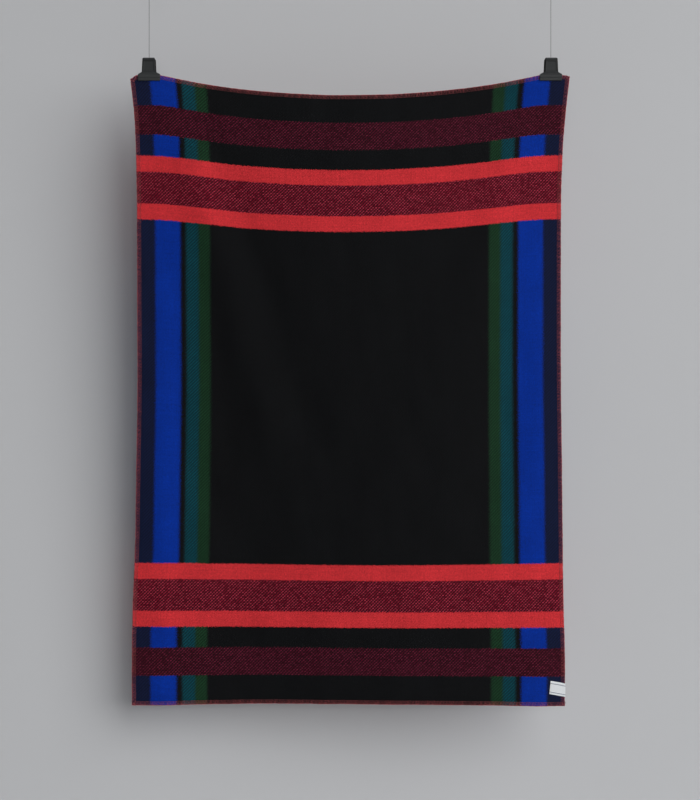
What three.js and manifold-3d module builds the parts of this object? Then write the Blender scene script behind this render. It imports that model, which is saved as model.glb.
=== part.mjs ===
// Wool blanket, hung face on by its two top corners from two spring clips.
// Each clip hangs on a taut wire from a small ceiling cup. Millimetres, +Z up, the front faces -Y.
// The origin lies midway between the two cups, on the ceiling plane.

import * as THREE from 'three';
import { mergeVertices } from 'three/addons/utils/BufferGeometryUtils.js';
import Module from 'manifold-3d';

// Cloth
const clothWidth = 1400;
const clothLength = 2000;
const clothThick = 3;
const rimThick = 4.4; // overlocked edge, yarn over both faces
const rimWidth = 10;
const rimRamp = 2; // from the rim's thickness to the cloth's
const clothTopZ = -279.5;
const clothStretch = 1.0012; // own weight, down the cloth

// Clips, measured from the lower edge of the jaw
const clipX = 637.6;
const clipFlat = 642.5; // clip centre on the flat cloth, from its middle
const jawBottomZ = -297;
const jawWidth = 71;
const jawTop = 20.3;
const jawGap = 5; // between the inner faces, over the 4.4 mm rim
const shoulderHeight = 27.3;
const bodyWidth = 44.4;
const bodyTopWidth = 40;
const clipHeight = 71.5;
const cornerRadius = 5.5;
const panelDepth = 0.9; // sunk middle of the handle
const panelMargin = 6;

// Pivot, spring and yoke
const pinHeight = 37;
const pinRadius = 2;
const pinHeadRadius = 3;
const pinHeadThick = 1.4;
const earThick = 1.5;
const earRadius = 4;
const frontEarX = 17.5; // inner side of the ear
const backEarX = 15.4;
const yokeLegX = 9;
const yokeThick = 1.5;
const yokeDepth = 8;
const yokeTop = 56;
const springWire = 1.2;
const springRadius = 3.1; // middle of the wire
const springPitch = 1.55;
const springTurns = 6;
const springLeg = 17;
const springLean = 0.58; // of a leg, from upright, in radians
const fit = 0.3; // gap that touching pieces keep

// Ferrule, wire and ceiling cup
const ferruleRadius = 2.6;
const ferruleNeck = 1.7;
const ferruleHeadHeight = 3;
const ferruleTop = 67; // from the lower edge of the jaw
const wireDiameter = 1.2;
const wireSides = 8;
const wireSteps = 16;
const cupRadius = 14;
const cupHeight = 25;

// Label over the right edge
const labelLength = 50; // across the cloth, each leaf
const labelHeight = 42;
const labelThick = 0.6;
const labelDown = 1945; // its middle, down the cloth
const labelTilt = 0.17; // falls to the right, rise over run
const labelGap = 0.45; // over the rim

// Half widths of the hung cloth and the sag of its cross lines at the middle, by distance down
const hangRows = [
  { down: 0, left: 697, right: 697, sag: 66 },
  { down: 60, left: 690, right: 690, sag: 62 },
  { down: 140, left: 684, right: 683, sag: 58 },
  { down: 240, left: 681, right: 676, sag: 54 },
  { down: 400, left: 678, right: 671, sag: 47 },
  { down: 700, left: 677, right: 670, sag: 37 },
  { down: 1000, left: 676, right: 670, sag: 24 },
  { down: 1250, left: 680, right: 673, sag: 14 },
  { down: 1500, left: 684, right: 675, sag: 6 },
  { down: 1700, left: 692, right: 678, sag: 1 },
  { down: 1850, left: 694, right: 682, sag: -3 },
  { down: 2000, left: 694, right: 682, sag: -7 },
];
const sagHalfWidth = 604; // the cross lines are level outside the clips
const cornerDroop = { left: 11, right: 4, reach: 160 };

// Soft folds, each along a straight crest: ends on the cloth from its middle and its top edge.
// A positive height comes towards the front. Widths are the half width at each end, and ease is
// the share of the length over which the fold grows and fades.
const folds = [
  { name: 'belly', from: [-110, -700], to: [420, 2700], height: 52, widths: [330, 330], ease: [0.25, 0.35] },
  { name: 'left arm', from: [-590, 30], to: [-110, 1600], height: 13, widths: [36, 62], ease: [0.28, 0.42] },
  { name: 'left lee', from: [-470, 40], to: [10, 1560], height: -7, widths: [38, 62], ease: [0.3, 0.45] },
  { name: 'left foot', from: [-640, 300], to: [-460, 1600], height: -7, widths: [50, 100], ease: [0.3, 0.4] },
  { name: 'right arm', from: [592, 40], to: [230, 1350], height: 12, widths: [38, 95], ease: [0.3, 0.5] },
  { name: 'right foot', from: [612, 500], to: [440, 1600], height: -6, widths: [50, 80], ease: [0.3, 0.4] },
  { name: 'left drop', from: [-616, 200], to: [-604, 2500], height: 7, widths: [32, 44], ease: [0.25, 0.2] },
  { name: 'right drop', from: [622, 260], to: [606, 2500], height: 6, widths: [32, 48], ease: [0.25, 0.2] },
  { name: 'left low', from: [-330, 1150], to: [-290, 2500], height: -7, widths: [90, 99], ease: [0.3, 0.2] },
  { name: 'right low', from: [330, 1350], to: [380, 2500], height: -6, widths: [90, 110], ease: [0.35, 0.2] },
  { name: 'swag', from: [0, -120], to: [-20, 420], height: -9, widths: [330, 200], ease: [0.25, 0.7] },
];
const setBack = 22; // the cloth hangs behind the clips by this, so that it balances under them
const holdReach = 220; // the folds grow from flat over this distance from a jaw

// Grid lines of the cloth
const innerColumns = 26;
const innerRows = 38;
const jawHalfFlat = 37.5;
const jawDownFlat = 24;

const colours = {
  cloth: '#151719',
  label: '#d9d6cf',
  clip: '#303234',
  metal: '#5b5d5f',
  wire: '#55575a',
  cup: '#8b8d8f',
};

// Helpers

function smooth(x) {
  const k = THREE.MathUtils.clamp(x, 0, 1);
  return k * k * (3 - 2 * k);
}

// Smooth value of one column of a table at a distance down the cloth.
function tableAt(rows, column, down) {
  let i = 0;
  while (i < rows.length - 2 && rows[i + 1].down <= down) i += 1;
  const slope = (k) => {
    const a = rows[Math.max(k - 1, 0)];
    const b = rows[Math.min(k + 1, rows.length - 1)];
    return (b[column] - a[column]) / (b.down - a.down);
  };
  const span = rows[i + 1].down - rows[i].down;
  const k = THREE.MathUtils.clamp((down - rows[i].down) / span, 0, 1);
  const k2 = k * k;
  const k3 = k2 * k;
  return (2 * k3 - 3 * k2 + 1) * rows[i][column]
    + (k3 - 2 * k2 + k) * span * slope(i)
    + (3 * k2 - 2 * k3) * rows[i + 1][column]
    + (k3 - k2) * span * slope(i + 1);
}

// Height of one fold at a point of the flat cloth.
function foldHeight(fold, across, down) {
  const runX = fold.to[0] - fold.from[0];
  const runDown = fold.to[1] - fold.from[1];
  const length = Math.hypot(runX, runDown);
  const offX = across - fold.from[0];
  const offDown = down - fold.from[1];
  const along = (offX * runX + offDown * runDown) / (length * length);
  const aside = (offX * runDown - offDown * runX) / length;
  const width = THREE.MathUtils.lerp(fold.widths[0], fold.widths[1], THREE.MathUtils.clamp(along, 0, 1));
  const window = smooth(along / fold.ease[0]) * smooth((1 - along) / fold.ease[1]);
  return fold.height * window * Math.exp(-(aside * aside) / (2 * width * width));
}

// 0 under a jaw, 1 away from it.
function awayFromJaws(across, down) {
  const beside = Math.max(Math.abs(Math.abs(across) - clipFlat) - jawHalfFlat, 0);
  const below = Math.max(down - jawDownFlat, 0);
  return smooth(Math.hypot(beside, below) / holdReach);
}

// Middle surface of the hung cloth at a point of the flat cloth.
function clothPoint(across, down) {
  const half = tableAt(hangRows, across < 0 ? 'left' : 'right', down);
  const share = across / (clothWidth / 2);
  const bow = Math.max(1 - (across / sagHalfWidth) ** 2, 0);
  const outside = smooth((Math.abs(across) - clipFlat - jawHalfFlat) / 20);
  const droop = across < 0 ? cornerDroop.left : cornerDroop.right;
  const height = folds.reduce((sum, fold) => sum + foldHeight(fold, across, down), -setBack);
  return new THREE.Vector3(
    half * share,
    -height * awayFromJaws(across, down),
    clothTopZ - down * clothStretch - tableAt(hangRows, 'sag', down) * bow
      - droop * outside * (1 - smooth(down / cornerDroop.reach)),
  );
}

// Unit normal of the middle surface, towards the front.
function clothNormal(across, down) {
  const step = 2;
  const right = clothPoint(across + step, down).sub(clothPoint(across - step, down));
  const up = clothPoint(across, down - step).sub(clothPoint(across, down + step));
  return right.cross(up).normalize();
}

// Same surface, moved off its middle.
function clothOffset(across, down, off) {
  return clothPoint(across, down).addScaledVector(clothNormal(across, down), off);
}

function material(colour, roughness, metalness) {
  return new THREE.MeshStandardMaterial({ color: colour, roughness, metalness });
}

function named(name, geometry, colour, roughness, metalness) {
  const mesh = new THREE.Mesh(geometry, material(colour, roughness, metalness));
  mesh.name = name;
  return mesh;
}

// Cloth

function gridLines() {
  const half = clothWidth / 2;
  const jawInner = clipFlat - jawHalfFlat;
  const side = [clipFlat, clipFlat + jawHalfFlat, half - rimWidth - rimRamp, half - rimWidth, half];
  const columns = [...side.map((x) => -x).reverse()];
  for (let i = 0; i <= innerColumns; i += 1) {
    columns.push(THREE.MathUtils.lerp(-jawInner, jawInner, i / innerColumns));
  }
  columns.push(...side);
  const firstRow = 60;
  const lastRow = clothLength - rimWidth - rimRamp;
  const rows = [0, rimWidth, rimWidth + rimRamp, jawDownFlat];
  for (let i = 0; i <= innerRows; i += 1) {
    rows.push(THREE.MathUtils.lerp(firstRow, lastRow, i / innerRows));
  }
  rows.push(clothLength - rimWidth, clothLength);
  return { columns, rows };
}

function thicknessAt(across, down) {
  const inside = Math.min(clothWidth / 2 - Math.abs(across), down, clothLength - down);
  return THREE.MathUtils.lerp(rimThick, clothThick, smooth((inside - rimWidth) / rimRamp));
}

function blanketGeometry() {
  const { columns, rows } = gridLines();
  const nx = columns.length - 1;
  const ny = rows.length - 1;
  const box = new THREE.BoxGeometry(nx, ny, 2, nx, ny, 1);
  box.deleteAttribute('normal');
  box.deleteAttribute('uv');
  const geometry = mergeVertices(box, 1e-4);
  const position = geometry.attributes.position;
  for (let n = 0; n < position.count; n += 1) {
    const across = columns[Math.round(position.getX(n) + nx / 2)];
    const down = rows[Math.round(ny / 2 - position.getY(n))];
    const side = Math.sign(position.getZ(n));
    const point = clothOffset(across, down, (side * thicknessAt(across, down)) / 2);
    position.setXYZ(n, point.x, point.y, point.z);
  }
  geometry.computeVertexNormals();
  return geometry;
}

// Section of the folded label across the edge: how far in from the edge, and how far off the middle.
function labelSection(off) {
  const points = [];
  const overEdge = labelGap + (off - rimThick / 2 - labelGap);
  const leafSteps = 4;
  for (let i = 0; i <= leafSteps; i += 1) {
    points.push({ inward: labelLength * (1 - i / leafSteps), off });
  }
  points.push({ inward: -overEdge * 0.8, off: off * 0.75 });
  points.push({ inward: -overEdge, off: 0 });
  points.push({ inward: -overEdge * 0.8, off: -off * 0.75 });
  for (let i = 0; i <= leafSteps; i += 1) {
    points.push({ inward: (labelLength * i) / leafSteps, off: -off });
  }
  return points;
}

function labelPoint(section, down) {
  const edge = clothWidth / 2;
  const across = edge - Math.max(section.inward, 0);
  const slope = (edge - across - labelLength / 2) * -labelTilt;
  const point = clothOffset(across, down + slope, section.off);
  if (section.inward < 0) point.x -= section.inward;
  return point;
}

// Strip folded over the edge: outer and inner skins, closed at both leaf ends and both sides.
function labelGeometry() {
  const inner = labelSection(rimThick / 2 + labelGap);
  const outer = labelSection(rimThick / 2 + labelGap + labelThick);
  const downSteps = 2;
  const count = inner.length;
  const positions = [];
  for (let j = 0; j <= downSteps; j += 1) {
    const down = labelDown + labelHeight * (j / downSteps - 0.5);
    for (const skin of [outer, inner]) {
      for (const section of skin) positions.push(...labelPoint(section, down).toArray());
    }
  }
  const at = (j, skin, i) => (j * 2 + skin) * count + i;
  const index = [];
  const quad = (a, b, c, d) => index.push(a, b, c, a, c, d);
  for (let j = 0; j < downSteps; j += 1) {
    for (let i = 0; i < count - 1; i += 1) {
      quad(at(j, 0, i), at(j + 1, 0, i), at(j + 1, 0, i + 1), at(j, 0, i + 1));
      quad(at(j, 1, i + 1), at(j + 1, 1, i + 1), at(j + 1, 1, i), at(j, 1, i));
    }
    quad(at(j, 1, 0), at(j + 1, 1, 0), at(j + 1, 0, 0), at(j, 0, 0));
    quad(at(j, 0, count - 1), at(j + 1, 0, count - 1), at(j + 1, 1, count - 1), at(j, 1, count - 1));
  }
  for (let i = 0; i < count - 1; i += 1) {
    quad(at(0, 1, i), at(0, 0, i), at(0, 0, i + 1), at(0, 1, i + 1));
    quad(at(downSteps, 0, i), at(downSteps, 1, i), at(downSteps, 1, i + 1), at(downSteps, 0, i + 1));
  }
  const geometry = new THREE.BufferGeometry();
  geometry.setAttribute('position', new THREE.Float32BufferAttribute(positions, 3));
  geometry.setIndex(index);
  geometry.computeVertexNormals();
  return geometry;
}

// Booleans

const wasm = await Module();
wasm.setup();

function solidOf(source) {
  const bare = source.clone();
  for (const name of Object.keys(bare.attributes)) {
    if (name !== 'position') bare.deleteAttribute(name);
  }
  const merged = mergeVertices(bare, 1e-4);
  return new wasm.Manifold(new wasm.Mesh({
    numProp: 3,
    vertProperties: new Float32Array(merged.attributes.position.array),
    triVerts: new Uint32Array(merged.index.array),
  }));
}

function geometryOf(solid) {
  const mesh = solid.getMesh();
  const geometry = new THREE.BufferGeometry();
  geometry.setAttribute('position', new THREE.BufferAttribute(new Float32Array(mesh.vertProperties), 3));
  geometry.setIndex(new THREE.BufferAttribute(new Uint32Array(mesh.triVerts), 1));
  geometry.computeVertexNormals();
  return geometry;
}

function shapeOf(points) {
  return new THREE.Shape(points.map(([x, y]) => new THREE.Vector2(x, y)));
}

// Section in Y and Z, extruded across X about the middle.
function acrossX(shape, width, middle = 0) {
  const geometry = new THREE.ExtrudeGeometry(shape, { depth: width, bevelEnabled: false, curveSegments: 4 });
  geometry.translate(0, 0, -width / 2);
  geometry.applyMatrix4(new THREE.Matrix4().makeBasis(
    new THREE.Vector3(0, 1, 0),
    new THREE.Vector3(0, 0, 1),
    new THREE.Vector3(1, 0, 0),
  ));
  geometry.translate(middle, 0, 0);
  return geometry;
}

// Outline in X and Z, extruded through Y about the middle.
function throughY(shape, depth) {
  const geometry = new THREE.ExtrudeGeometry(shape, { depth, bevelEnabled: false, curveSegments: 3 });
  geometry.translate(0, 0, -depth / 2);
  geometry.rotateX(Math.PI / 2);
  return geometry;
}

// Clip shells

// Front outline of a shell: flared jaw, shoulders, tapered handle with a rounded top.
function shellOutline(margin = 0, foot = 0) {
  const jaw = jawWidth / 2 - margin;
  const low = bodyWidth / 2 - margin;
  const high = bodyTopWidth / 2 - margin;
  const top = clipHeight - margin;
  const r = cornerRadius - margin * 0.5;
  const shape = new THREE.Shape();
  shape.moveTo(-jaw, foot);
  shape.lineTo(jaw, foot);
  shape.lineTo(jaw, jawTop - 3);
  shape.quadraticCurveTo(jaw, jawTop + 1, jaw - 4, jawTop + 2);
  shape.lineTo(low + 1.5, shoulderHeight - 1);
  shape.quadraticCurveTo(low, shoulderHeight, low - 0.2, shoulderHeight + 3);
  shape.lineTo(high, top - r);
  shape.quadraticCurveTo(high, top, high - r, top);
  shape.lineTo(-high + r, top);
  shape.quadraticCurveTo(-high, top, -high, top - r);
  shape.lineTo(-low + 0.2, shoulderHeight + 3);
  shape.quadraticCurveTo(-low, shoulderHeight, -low - 1.5, shoulderHeight - 1);
  shape.lineTo(-jaw + 4, jawTop + 2);
  shape.quadraticCurveTo(-jaw, jawTop + 1, -jaw, jawTop - 3);
  shape.closePath();
  return shape;
}

// Outline of the sunk panel on the handle.
function panelOutline() {
  const low = bodyWidth / 2 - panelMargin;
  const high = bodyTopWidth / 2 - panelMargin;
  return shapeOf([
    [-low, shoulderHeight + 1], [low, shoulderHeight + 1],
    [high, clipHeight - 11], [-high, clipHeight - 11],
  ]);
}

// Side section of the front shell: how far out its outer and inner faces stand, by height.
const shellRows = [
  { height: 0, outer: 5.2, inner: jawGap / 2 },
  { height: 2, outer: 6.6, inner: jawGap / 2 },
  { height: 7, outer: 6.9, inner: jawGap / 2 },
  { height: 8.4, outer: 5.6, inner: jawGap / 2 },
  { height: 10, outer: 5.6, inner: jawGap / 2 },
  { height: 11.4, outer: 7.4, inner: jawGap / 2 },
  { height: 17, outer: 7.8, inner: jawGap / 2 },
  { height: 21, outer: 8.8, inner: jawGap / 2 + 0.6 },
  { height: 26, outer: 11.6, inner: 7.6 },
  { height: 32, outer: 13.6, inner: 11 },
  { height: 46, outer: 15, inner: 12.8 },
  { height: 61, outer: 16.2, inner: 14 },
  { height: 62.2, outer: 15.5, inner: 14.1 },
  { height: 63.8, outer: 15.5, inner: 14.1 },
  { height: 65, outer: 16.6, inner: 14 },
  { height: 69, outer: 16.2, inner: 13.4 },
  { height: clipHeight, outer: 14.6, inner: 12.6 },
];

function sectionBand(outerOf, innerOf) {
  const outer = shellRows.map((row) => [-outerOf(row), row.height]);
  const inner = shellRows.map((row) => [-innerOf(row), row.height]).reverse();
  return shapeOf([...outer, ...inner]);
}

function ear(x, facing) {
  const reach = 13;
  const shape = new THREE.Shape();
  shape.moveTo(-reach, pinHeight - 7);
  shape.lineTo(0, pinHeight - earRadius);
  shape.absarc(0, pinHeight, earRadius, -Math.PI / 2, Math.PI / 2, false);
  shape.lineTo(-reach, pinHeight + 7);
  shape.closePath();
  const geometry = acrossX(shape, earThick, x + (Math.sign(x) * earThick) / 2);
  if (facing < 0) geometry.rotateZ(Math.PI);
  return solidOf(geometry);
}

function bore(radius, width) {
  const geometry = new THREE.CylinderGeometry(radius, radius, width, 16);
  geometry.rotateZ(Math.PI / 2);
  geometry.translate(0, 0, pinHeight);
  return solidOf(geometry);
}

// One pressed shell. The back one is the front one turned half round, with its ears inside.
function shellGeometry(facing) {
  const wide = jawWidth + 4;
  const plate = solidOf(acrossX(sectionBand((r) => r.outer, (r) => r.inner), wide))
    .intersect(solidOf(throughY(shellOutline(), 60)));
  const skin = solidOf(acrossX(sectionBand((r) => r.outer + 2, (r) => r.outer - panelDepth), wide))
    .intersect(solidOf(throughY(panelOutline(), 60)));
  const earX = facing > 0 ? frontEarX : backEarX;
  const shell = plate.subtract(skin)
    .add(ear(earX, 1))
    .add(ear(-earX, 1))
    .subtract(bore(pinRadius + fit, wide));
  const geometry = geometryOf(shell);
  if (facing < 0) geometry.rotateZ(Math.PI);
  return geometry;
}

// Pin, with a head at each end.
function pinGeometry() {
  const body = frontEarX + earThick + fit;
  const end = body + pinHeadThick;
  const profile = [
    [0, -end], [pinHeadRadius, -end], [pinHeadRadius, -body], [pinRadius, -body],
    [pinRadius, body], [pinHeadRadius, body], [pinHeadRadius, end], [0, end],
  ];
  const geometry = new THREE.LatheGeometry(profile.map(([r, y]) => new THREE.Vector2(r, y)), 12);
  geometry.rotateZ(Math.PI / 2);
  geometry.translate(0, 0, pinHeight);
  return geometry;
}

// Coil round the pin with a straight leg up to each shell.
class SpringCurve extends THREE.Curve {
  getPoint(k, target = new THREE.Vector3()) {
    const legShare = 0.12;
    const width = springPitch * springTurns;
    const leg = (side, out) => target.set(
      (side * width) / 2,
      side * (springRadius + out * Math.sin(springLean)),
      pinHeight + out * Math.cos(springLean),
    );
    if (k < legShare) return leg(-1, (1 - k / legShare) * springLeg);
    if (k > 1 - legShare) return leg(1, ((k - 1 + legShare) / legShare) * springLeg);
    const turn = (k - legShare) / (1 - 2 * legShare);
    const angle = Math.PI + turn * Math.PI * 2 * (springTurns + 0.5);
    return target.set(
      (turn - 0.5) * width,
      springRadius * Math.cos(angle),
      pinHeight + springRadius * Math.sin(angle),
    );
  }
}

function roundShape(radius, sides) {
  const points = [];
  for (let i = 0; i < sides; i += 1) {
    const angle = (i / sides) * Math.PI * 2;
    points.push([radius * Math.cos(angle), radius * Math.sin(angle)]);
  }
  return shapeOf(points);
}

function springGeometry() {
  return new THREE.ExtrudeGeometry(roundShape(springWire / 2, 5), {
    steps: 84,
    extrudePath: new SpringCurve(),
  });
}

// Bent strap that carries the pin, with a hole in its bridge for the ferrule.
function yokeGeometry() {
  const outer = yokeLegX + yokeThick;
  const foot = pinHeight - 5;
  const outline = shapeOf([
    [-outer, foot], [-yokeLegX, foot], [-yokeLegX, yokeTop - yokeThick], [yokeLegX, yokeTop - yokeThick],
    [yokeLegX, foot], [outer, foot], [outer, yokeTop], [-outer, yokeTop],
  ]);
  const hole = new THREE.CylinderGeometry(ferruleNeck + fit, ferruleNeck + fit, 12, 12);
  hole.rotateX(Math.PI / 2);
  hole.translate(0, 0, yokeTop);
  return geometryOf(solidOf(throughY(outline, yokeDepth))
    .subtract(bore(pinRadius + fit, 60))
    .subtract(solidOf(hole)));
}

function latheUp(profile, sides) {
  const geometry = new THREE.LatheGeometry(profile.map(([r, z]) => new THREE.Vector2(r, z)), sides);
  geometry.rotateX(Math.PI / 2);
  return geometry;
}

// Crimped ferrule: head under the yoke's bridge, neck through it, sleeve above.
function ferruleGeometry() {
  const under = yokeTop - yokeThick - fit;
  const over = yokeTop + fit;
  return latheUp([
    [0, under - ferruleHeadHeight], [ferruleRadius + 1, under - ferruleHeadHeight],
    [ferruleRadius + 1, under], [ferruleNeck, under], [ferruleNeck, over], [ferruleRadius, over],
    [ferruleRadius, ferruleTop - 1], [ferruleRadius - 0.8, ferruleTop], [0, ferruleTop],
  ], 12);
}

// Clips, wires and cups

function makeClip(side, x) {
  const clip = new THREE.Group();
  clip.position.set(x, 0, jawBottomZ);
  clip.add(
    named(`${side}_clip_front`, shellGeometry(1), colours.clip, 0.45, 0.2),
    named(`${side}_clip_back`, shellGeometry(-1), colours.clip, 0.45, 0.2),
    named(`${side}_clip_pin`, pinGeometry(), colours.metal, 0.35, 1),
    named(`${side}_clip_spring`, springGeometry(), colours.metal, 0.35, 1),
    named(`${side}_clip_yoke`, yokeGeometry(), colours.metal, 0.4, 1),
    named(`${side}_ferrule`, ferruleGeometry(), colours.metal, 0.4, 1),
  );
  return clip;
}

function makeWire(side, x) {
  const foot = new THREE.Vector3(x, 0, jawBottomZ + ferruleTop + fit);
  const head = new THREE.Vector3(x, 0, -cupHeight - fit);
  const geometry = new THREE.ExtrudeGeometry(roundShape(wireDiameter / 2, wireSides), {
    steps: wireSteps,
    extrudePath: new THREE.LineCurve3(foot, head),
  });
  return named(`${side}_wire`, geometry, colours.wire, 0.4, 1);
}

function makeCup(side, x) {
  const geometry = latheUp([
    [0, -cupHeight], [2.6, -cupHeight], [3.2, -cupHeight + 5], [8.5, -cupHeight + 8],
    [9.5, -3.5], [cupRadius, -2.5], [cupRadius, 0], [0, 0],
  ], 24);
  const cup = named(`${side}_ceiling_cup`, geometry, colours.cup, 0.35, 1);
  cup.position.set(x, 0, 0);
  return cup;
}

const part = new THREE.Group();
part.add(named('blanket', blanketGeometry(), colours.cloth, 0.95, 0));
part.add(named('label', labelGeometry(), colours.label, 0.9, 0));
for (const [side, x] of [['left', -clipX], ['right', clipX]]) {
  part.add(makeClip(side, x), makeWire(side, x), makeCup(side, x));
}

export default part;
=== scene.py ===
import math

import bmesh
import bpy
import numpy as np
from mathutils import Matrix, Vector


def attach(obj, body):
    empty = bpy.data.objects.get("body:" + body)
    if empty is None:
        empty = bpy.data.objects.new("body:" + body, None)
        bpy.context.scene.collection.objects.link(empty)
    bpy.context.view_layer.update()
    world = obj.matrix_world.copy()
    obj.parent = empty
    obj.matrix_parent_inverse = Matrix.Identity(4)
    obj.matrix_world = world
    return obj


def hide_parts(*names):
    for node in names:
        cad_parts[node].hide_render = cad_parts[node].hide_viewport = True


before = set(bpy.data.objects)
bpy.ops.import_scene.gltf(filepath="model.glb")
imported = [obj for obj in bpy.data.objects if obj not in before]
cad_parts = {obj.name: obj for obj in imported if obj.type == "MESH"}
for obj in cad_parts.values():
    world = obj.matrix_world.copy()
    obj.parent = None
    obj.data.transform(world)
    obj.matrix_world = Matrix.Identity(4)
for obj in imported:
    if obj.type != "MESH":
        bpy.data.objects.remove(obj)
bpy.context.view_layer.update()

mm = 0.001
body = "root"


# Small helpers

def smooth(x):
    k = np.clip(x, 0, 1)
    return k * k * (3 - 2 * k)


def addObject(name, data):
    obj = bpy.data.objects.new(name, data)
    bpy.context.scene.collection.objects.link(obj)
    return obj


def dropObject(obj):
    mesh = obj.data
    bpy.data.objects.remove(obj)
    bpy.data.meshes.remove(mesh)


def meshObject(name, points, faces, uv=None, shadeSmooth=True):
    mesh = bpy.data.meshes.new(name)
    mesh.from_pydata([tuple(p) for p in points], [], [tuple(int(i) for i in f) for f in faces])
    if uv is not None:
        layer = mesh.uv_layers.new(name="cloth")
        corners = np.zeros(len(mesh.loops), dtype=np.int32)
        mesh.loops.foreach_get("vertex_index", corners)
        layer.data.foreach_set("uv", np.asarray(uv, dtype=np.float32)[corners].ravel())
    mesh.update()
    closeMesh(mesh)
    mesh.polygons.foreach_set("use_smooth", [shadeSmooth] * len(mesh.polygons))
    return addObject(name, mesh)


def closeMesh(mesh):
    # merges what meets and turns the faces outwards
    apart = 1e-7
    work = bmesh.new()
    work.from_mesh(mesh)
    bmesh.ops.remove_doubles(work, verts=work.verts, dist=apart)
    bmesh.ops.dissolve_degenerate(work, edges=work.edges, dist=apart)
    bmesh.ops.recalc_face_normals(work, faces=work.faces)
    work.to_mesh(mesh)
    work.free()
    mesh.update()


def joined(name, parts):
    # one object from several, each closed already
    work = bmesh.new()
    for part in parts:
        work.from_mesh(part.data)
        dropObject(part)
    mesh = bpy.data.meshes.new(name)
    work.to_mesh(mesh)
    work.free()
    return addObject(name, mesh)


def plainResult(source, name):
    # the evaluated mesh as an object of its own, without the modifier
    bpy.context.view_layer.update()
    depsgraph = bpy.context.evaluated_depsgraph_get()
    mesh = bpy.data.meshes.new_from_object(source.evaluated_get(depsgraph))
    mesh.name = name
    dropObject(source)
    return addObject(name, mesh)


def gridFaces(rows, columns, wrap=False):
    # quads of a grid of points that is stored row after row
    faces = []
    last = columns if wrap else columns - 1
    for j in range(rows - 1):
        for i in range(last):
            a = j * columns + i
            b = j * columns + (i + 1) % columns
            faces.append((a, b, b + columns, a + columns))
    return faces


def bothFaces(rows, columns):
    # two grids of one size, stored one after the other, the second turned over
    front = gridFaces(rows, columns)
    return front + [tuple(i + rows * columns for i in reversed(face)) for face in front]


def gridRing(rows, columns):
    # the points round the border of a grid, in turn
    ring = list(range(columns))
    ring += [j * columns + columns - 1 for j in range(1, rows)]
    ring += [(rows - 1) * columns + i for i in range(columns - 2, -1, -1)]
    ring += [j * columns for j in range(rows - 2, 0, -1)]
    return ring


def latheObject(name, profile, sides, axis="Z", place=(0, 0, 0)):
    # profile of (radius, height) from one end of the axis to the other
    angles = np.linspace(0, 2 * math.pi, sides, endpoint=False)
    points = []
    for radius, height in profile:
        for angle in angles:
            x = radius * math.cos(angle)
            y = radius * math.sin(angle)
            spot = (height, x, y) if axis == "X" else (x, y, height)
            points.append((Vector(spot) + Vector(place)) * mm)
    return meshObject(name, points, gridFaces(len(profile), sides, wrap=True))


def sweepObject(name, path, sectionAt, side=None):
    # a section of (side, other) offsets carried along a path without twist, closed at both ends
    path = [Vector(p) for p in path]
    tangents = []
    for i in range(len(path)):
        before = path[max(i - 1, 0)]
        after = path[min(i + 1, len(path) - 1)]
        tangents.append((after - before).normalized())
    side = Vector(side) if side else tangents[0].orthogonal()
    rings = []
    for i, centre in enumerate(path):
        side = (side - tangents[i] * side.dot(tangents[i])).normalized()
        other = tangents[i].cross(side)
        rings += [(centre + side * u + other * v) * mm for u, v in sectionAt(i)]
    count = len(rings) // len(path)
    faces = gridFaces(len(path), count, wrap=True)
    faces.append(tuple(range(count - 1, -1, -1)))
    faces.append(tuple(range((len(path) - 1) * count, len(path) * count)))
    return meshObject(name, rings, faces)


def circle(radius, count):
    angles = [2 * math.pi * k / count for k in range(count)]
    return [(radius * math.cos(angle), radius * math.sin(angle)) for angle in angles]


# Camera

camera = {
    "lens": 85,
    "sensor": 36,
    "photoSize": (700, 800),
    "mmPerPixel": 3.1746,
    "lookHeight": -1310,  # height at the middle of the picture
    "clipEnd": 60,
}


def makeCamera():
    data = bpy.data.cameras.new("camera")
    data.lens = camera["lens"]
    data.sensor_width = camera["sensor"]
    seen = camera["photoSize"][1] * camera["mmPerPixel"] * mm
    distance = seen * camera["lens"] / camera["sensor"]
    data.clip_end = camera["clipEnd"]
    obj = addObject("camera", data)
    obj.location = (0, -distance, camera["lookHeight"] * mm)
    obj.rotation_euler = (math.pi / 2, 0, 0)
    bpy.context.scene.camera = obj


makeCamera()
print("camera set")


# Wires, taut from the ferrules to the ceiling cups

wire = {
    "x": 637.6,
    "foot": -229.7,
    "head": -25.3,
    "tuckedIn": 4.0,  # goes on inside the ferrule and the cup
    "diameter": 1.2,
    "strands": 6,
    "lay": 9.0,  # length of one turn of a strand
    "grooveDepth": 0.2,  # between strands, as a share of the radius
    "grooveSharpness": 0.7,
    "step": 0.55,
    "sides": 24,
    "routePoints": 20,
}


def makeWire(side, x):
    foot = wire["foot"] - wire["tuckedIn"]
    head = wire["head"] + wire["tuckedIn"]
    heights = np.linspace(foot, head, int(round((head - foot) / wire["step"])) + 1)

    def strands(i):
        turn = 2 * math.pi * (heights[i] - foot) / wire["lay"]
        section = []
        for u, v in circle(wire["diameter"] / 2, wire["sides"]):
            lobe = abs(math.cos(wire["strands"] / 2 * (math.atan2(v, u) - turn))) ** wire["grooveSharpness"]
            share = (1 - wire["grooveDepth"]) + wire["grooveDepth"] * lobe
            section.append((u * share, v * share))
        return section

    line = [(x, 0, z) for z in heights]
    obj = sweepObject(f"{side}_steel_wire", line, strands)
    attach(obj, body)
    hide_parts(f"{side}_wire")
    path = [tuple(Vector(p) * mm) for p in line]
    return obj, path[:: len(path) // wire["routePoints"]] + [path[-1]]


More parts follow.
